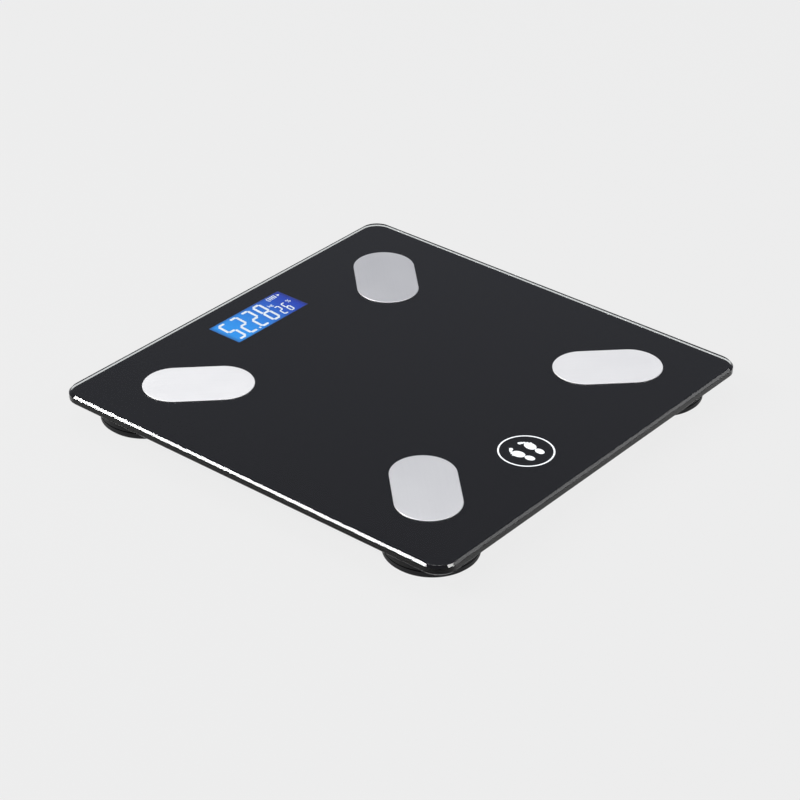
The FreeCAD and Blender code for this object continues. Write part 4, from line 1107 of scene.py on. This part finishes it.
class SCALE_OT_stage(Operator):
    """Set up the floor, the soft lights, the surroundings and the camera"""

    bl_idname = "bathroom_scale.stage"
    bl_label = "Stage"

    def execute(self, context):
        self.s = settings("scale_stage")
        self.target = Vector((0, 0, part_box("glass_platform")[1][2]))
        self.floor()
        self.surroundings(context.scene)
        self.lights()
        self.camera(context.scene)
        context.scene.view_settings.view_transform = "Standard"
        context.scene.view_settings.look = "None"
        return {"FINISHED"}

    def floor(self):
        bpy.ops.mesh.primitive_plane_add(size=self.s.floor_side, location=(0, 0, -0.0002))
        floor = bpy.context.object
        floor.name = "studio_floor"
        f = Finish("studio_floor")
        tone = tuple(self.s.floor)
        glow = f.node("ShaderNodeEmission", None, {"Color": tone, "Strength": 0.97})[0]
        matt = f.node("ShaderNodeBsdfDiffuse", None, {"Color": (0.02, 0.02, 0.02)})[0]
        both = f.node("ShaderNodeAddShader", None, {0: glow, 1: matt})[0]
        clear = f.node("ShaderNodeBsdfTransparent")[0]
        behind = f.node("ShaderNodeNewGeometry")["Backfacing"]
        shown = f.node("ShaderNodeMixShader", None, {0: behind, 1: both, 2: clear})[0]
        f.node("ShaderNodeOutputMaterial", None, {"Surface": shown})
        floor.data.materials.append(f.made)

    def surroundings(self, scene):
        """A pale room to look at, and a dim one in reflections."""
        f = Finish("studio", "worlds")
        pale = f.node("ShaderNodeBackground", None, {"Color": tuple(self.s.floor)})[0]
        dim = f.node("ShaderNodeBackground", None, {"Color": tuple(self.s.room)})[0]
        seen = f.node("ShaderNodeLightPath")["Is Camera Ray"]
        shown = f.node("ShaderNodeMixShader", None, {0: seen, 1: dim, 2: pale})[0]
        f.node("ShaderNodeOutputWorld", None, {"Surface": shown})
        scene.world = f.made

    def eye(self):
        """Where the camera stands, and its axes."""
        s = self.s
        a, e = s.azimuth, s.elevation
        back = Vector((math.sin(a) * math.cos(e), -math.cos(a) * math.cos(e), math.sin(e)))
        right = Vector((math.cos(a), math.sin(a), 0))
        up = back.cross(right)
        place = self.target + back * s.distance + right * s.aside + up * s.rise
        return place, right, up, back

    def soft_box(self, name, place, along, wide, high, radiance):
        """A soft light that faces the platform, with its wide side along a direction.

        radiance is how bright it looks to the floor's 0.85.
        """
        light = bpy.data.lights.new(name, "AREA")
        light.shape = "RECTANGLE"
        light.size, light.size_y = wide, high
        light.energy = math.pi * wide * high * radiance
        obj = bpy.data.objects.new(name, light)
        bpy.context.scene.collection.objects.link(obj)
        outward = (place - self.target).normalized()
        x_axis = (along - outward * along.dot(outward)).normalized()
        turn = Matrix((x_axis, outward.cross(x_axis), outward)).transposed().to_4x4()
        obj.matrix_world = Matrix.Translation(place) @ turn
        obj.visible_camera = False

    def edge_light(self, name, ends, reach, margin, radiance):
        """A soft light where the camera sees it mirrored in a chamfer, from end to end.

        Each end is a point of the chamfer and the way that it faces there.
        """
        eye = self.eye()[0]
        seen = []
        for end, normal in ends:
            toward = (eye - end).normalized()
            away = normal * (2 * toward.dot(normal)) - toward
            seen.append(end + away * reach)
        span = seen[1] - seen[0]
        place = (seen[0] + seen[1]) / 2
        self.soft_box(name, place, span, span.length + margin, margin, radiance)

    def chamfer_normal(self, angle):
        """How the upper chamfer faces, from the left edge at 0 round to the front edge at 90."""
        turn = math.radians(angle)
        return Vector((-math.cos(turn), -math.sin(turn), 1)).normalized()

    def lights(self):
        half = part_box("glass_platform")[1][0]
        near, left, right = (
            self.target + Vector((*CORNERS[corner], 0)) * half
            for corner in ("front_left", "back_left", "front_right")
        )
        side, front = self.chamfer_normal(0), self.chamfer_normal(90)
        self.edge_light("side_strip", ((near, side), (left, side)), **SIDE_STRIP)
        self.edge_light("front_fill", ((near, front), (right, front)), **FRONT_FILL)
        radius = settings("scale_plate").corner
        centre = near + Vector((radius, radius, 0))
        glint = []
        for angle in GLINT_FROM_TO:
            normal = self.chamfer_normal(angle)
            glint.append((centre + Vector((*normal.xy.normalized(), 0)) * radius, normal))
        self.edge_light("corner_glint", glint, **CORNER_GLINT)
        self.soft_box("overhead", self.target + ABOVE, Vector((1, 0, 0)), **OVERHEAD)

    def camera(self, scene):
        s = self.s
        place, right, up, back = self.eye()
        data = bpy.data.cameras.new("camera")
        data.lens = s.lens
        data.sensor_width = 36.0
        data.sensor_fit = "HORIZONTAL"
        data.clip_start, data.clip_end = 0.05, 60.0
        camera = bpy.data.objects.new("camera", data)
        scene.collection.objects.link(camera)
        c, r = math.cos(s.roll), math.sin(s.roll)
        turn = Matrix((right * c + up * r, up * c - right * r, back)).transposed().to_4x4()
        camera.matrix_world = Matrix.Translation(place) @ turn
        scene.camera = camera


# ------------------------------------------------------------------ the panel


OPERATORS = (
    SCALE_OT_glass_plate,
    SCALE_OT_electrodes,
    SCALE_OT_standing_mark,
    SCALE_OT_display,
    SCALE_OT_batteries,
    SCALE_OT_door_mark,
    SCALE_OT_cad_finishes,
    SCALE_OT_stage,
)


class SCALE_PT_panel(Panel):
    """Lists the pieces of the scale"""

    bl_idname = "SCALE_PT_panel"
    bl_label = "Bathroom scale"
    bl_space_type = "VIEW_3D"
    bl_region_type = "UI"
    bl_category = "Bathroom Scale"

    def draw(self, context):
        for operator in OPERATORS:
            self.layout.operator(operator.bl_idname)
        for group, kind in SETTINGS.items():
            box = self.layout.box()
            for name in kind.__annotations__:
                box.prop(getattr(context.scene, group), name)


def register():
    for kind in (*SETTINGS.values(), *OPERATORS, SCALE_PT_panel):
        bpy.utils.register_class(kind)
    for group, kind in SETTINGS.items():
        setattr(bpy.types.Scene, group, PointerProperty(type=kind))


def unregister():
    for group in SETTINGS:
        delattr(bpy.types.Scene, group)
    for kind in reversed((*SETTINGS.values(), *OPERATORS, SCALE_PT_panel)):
        bpy.utils.unregister_class(kind)


def main():
    register()
    for operator in OPERATORS:
        module, name = operator.bl_idname.split(".")
        getattr(getattr(bpy.ops, module), name)()


if __name__ == "__main__":
    main()
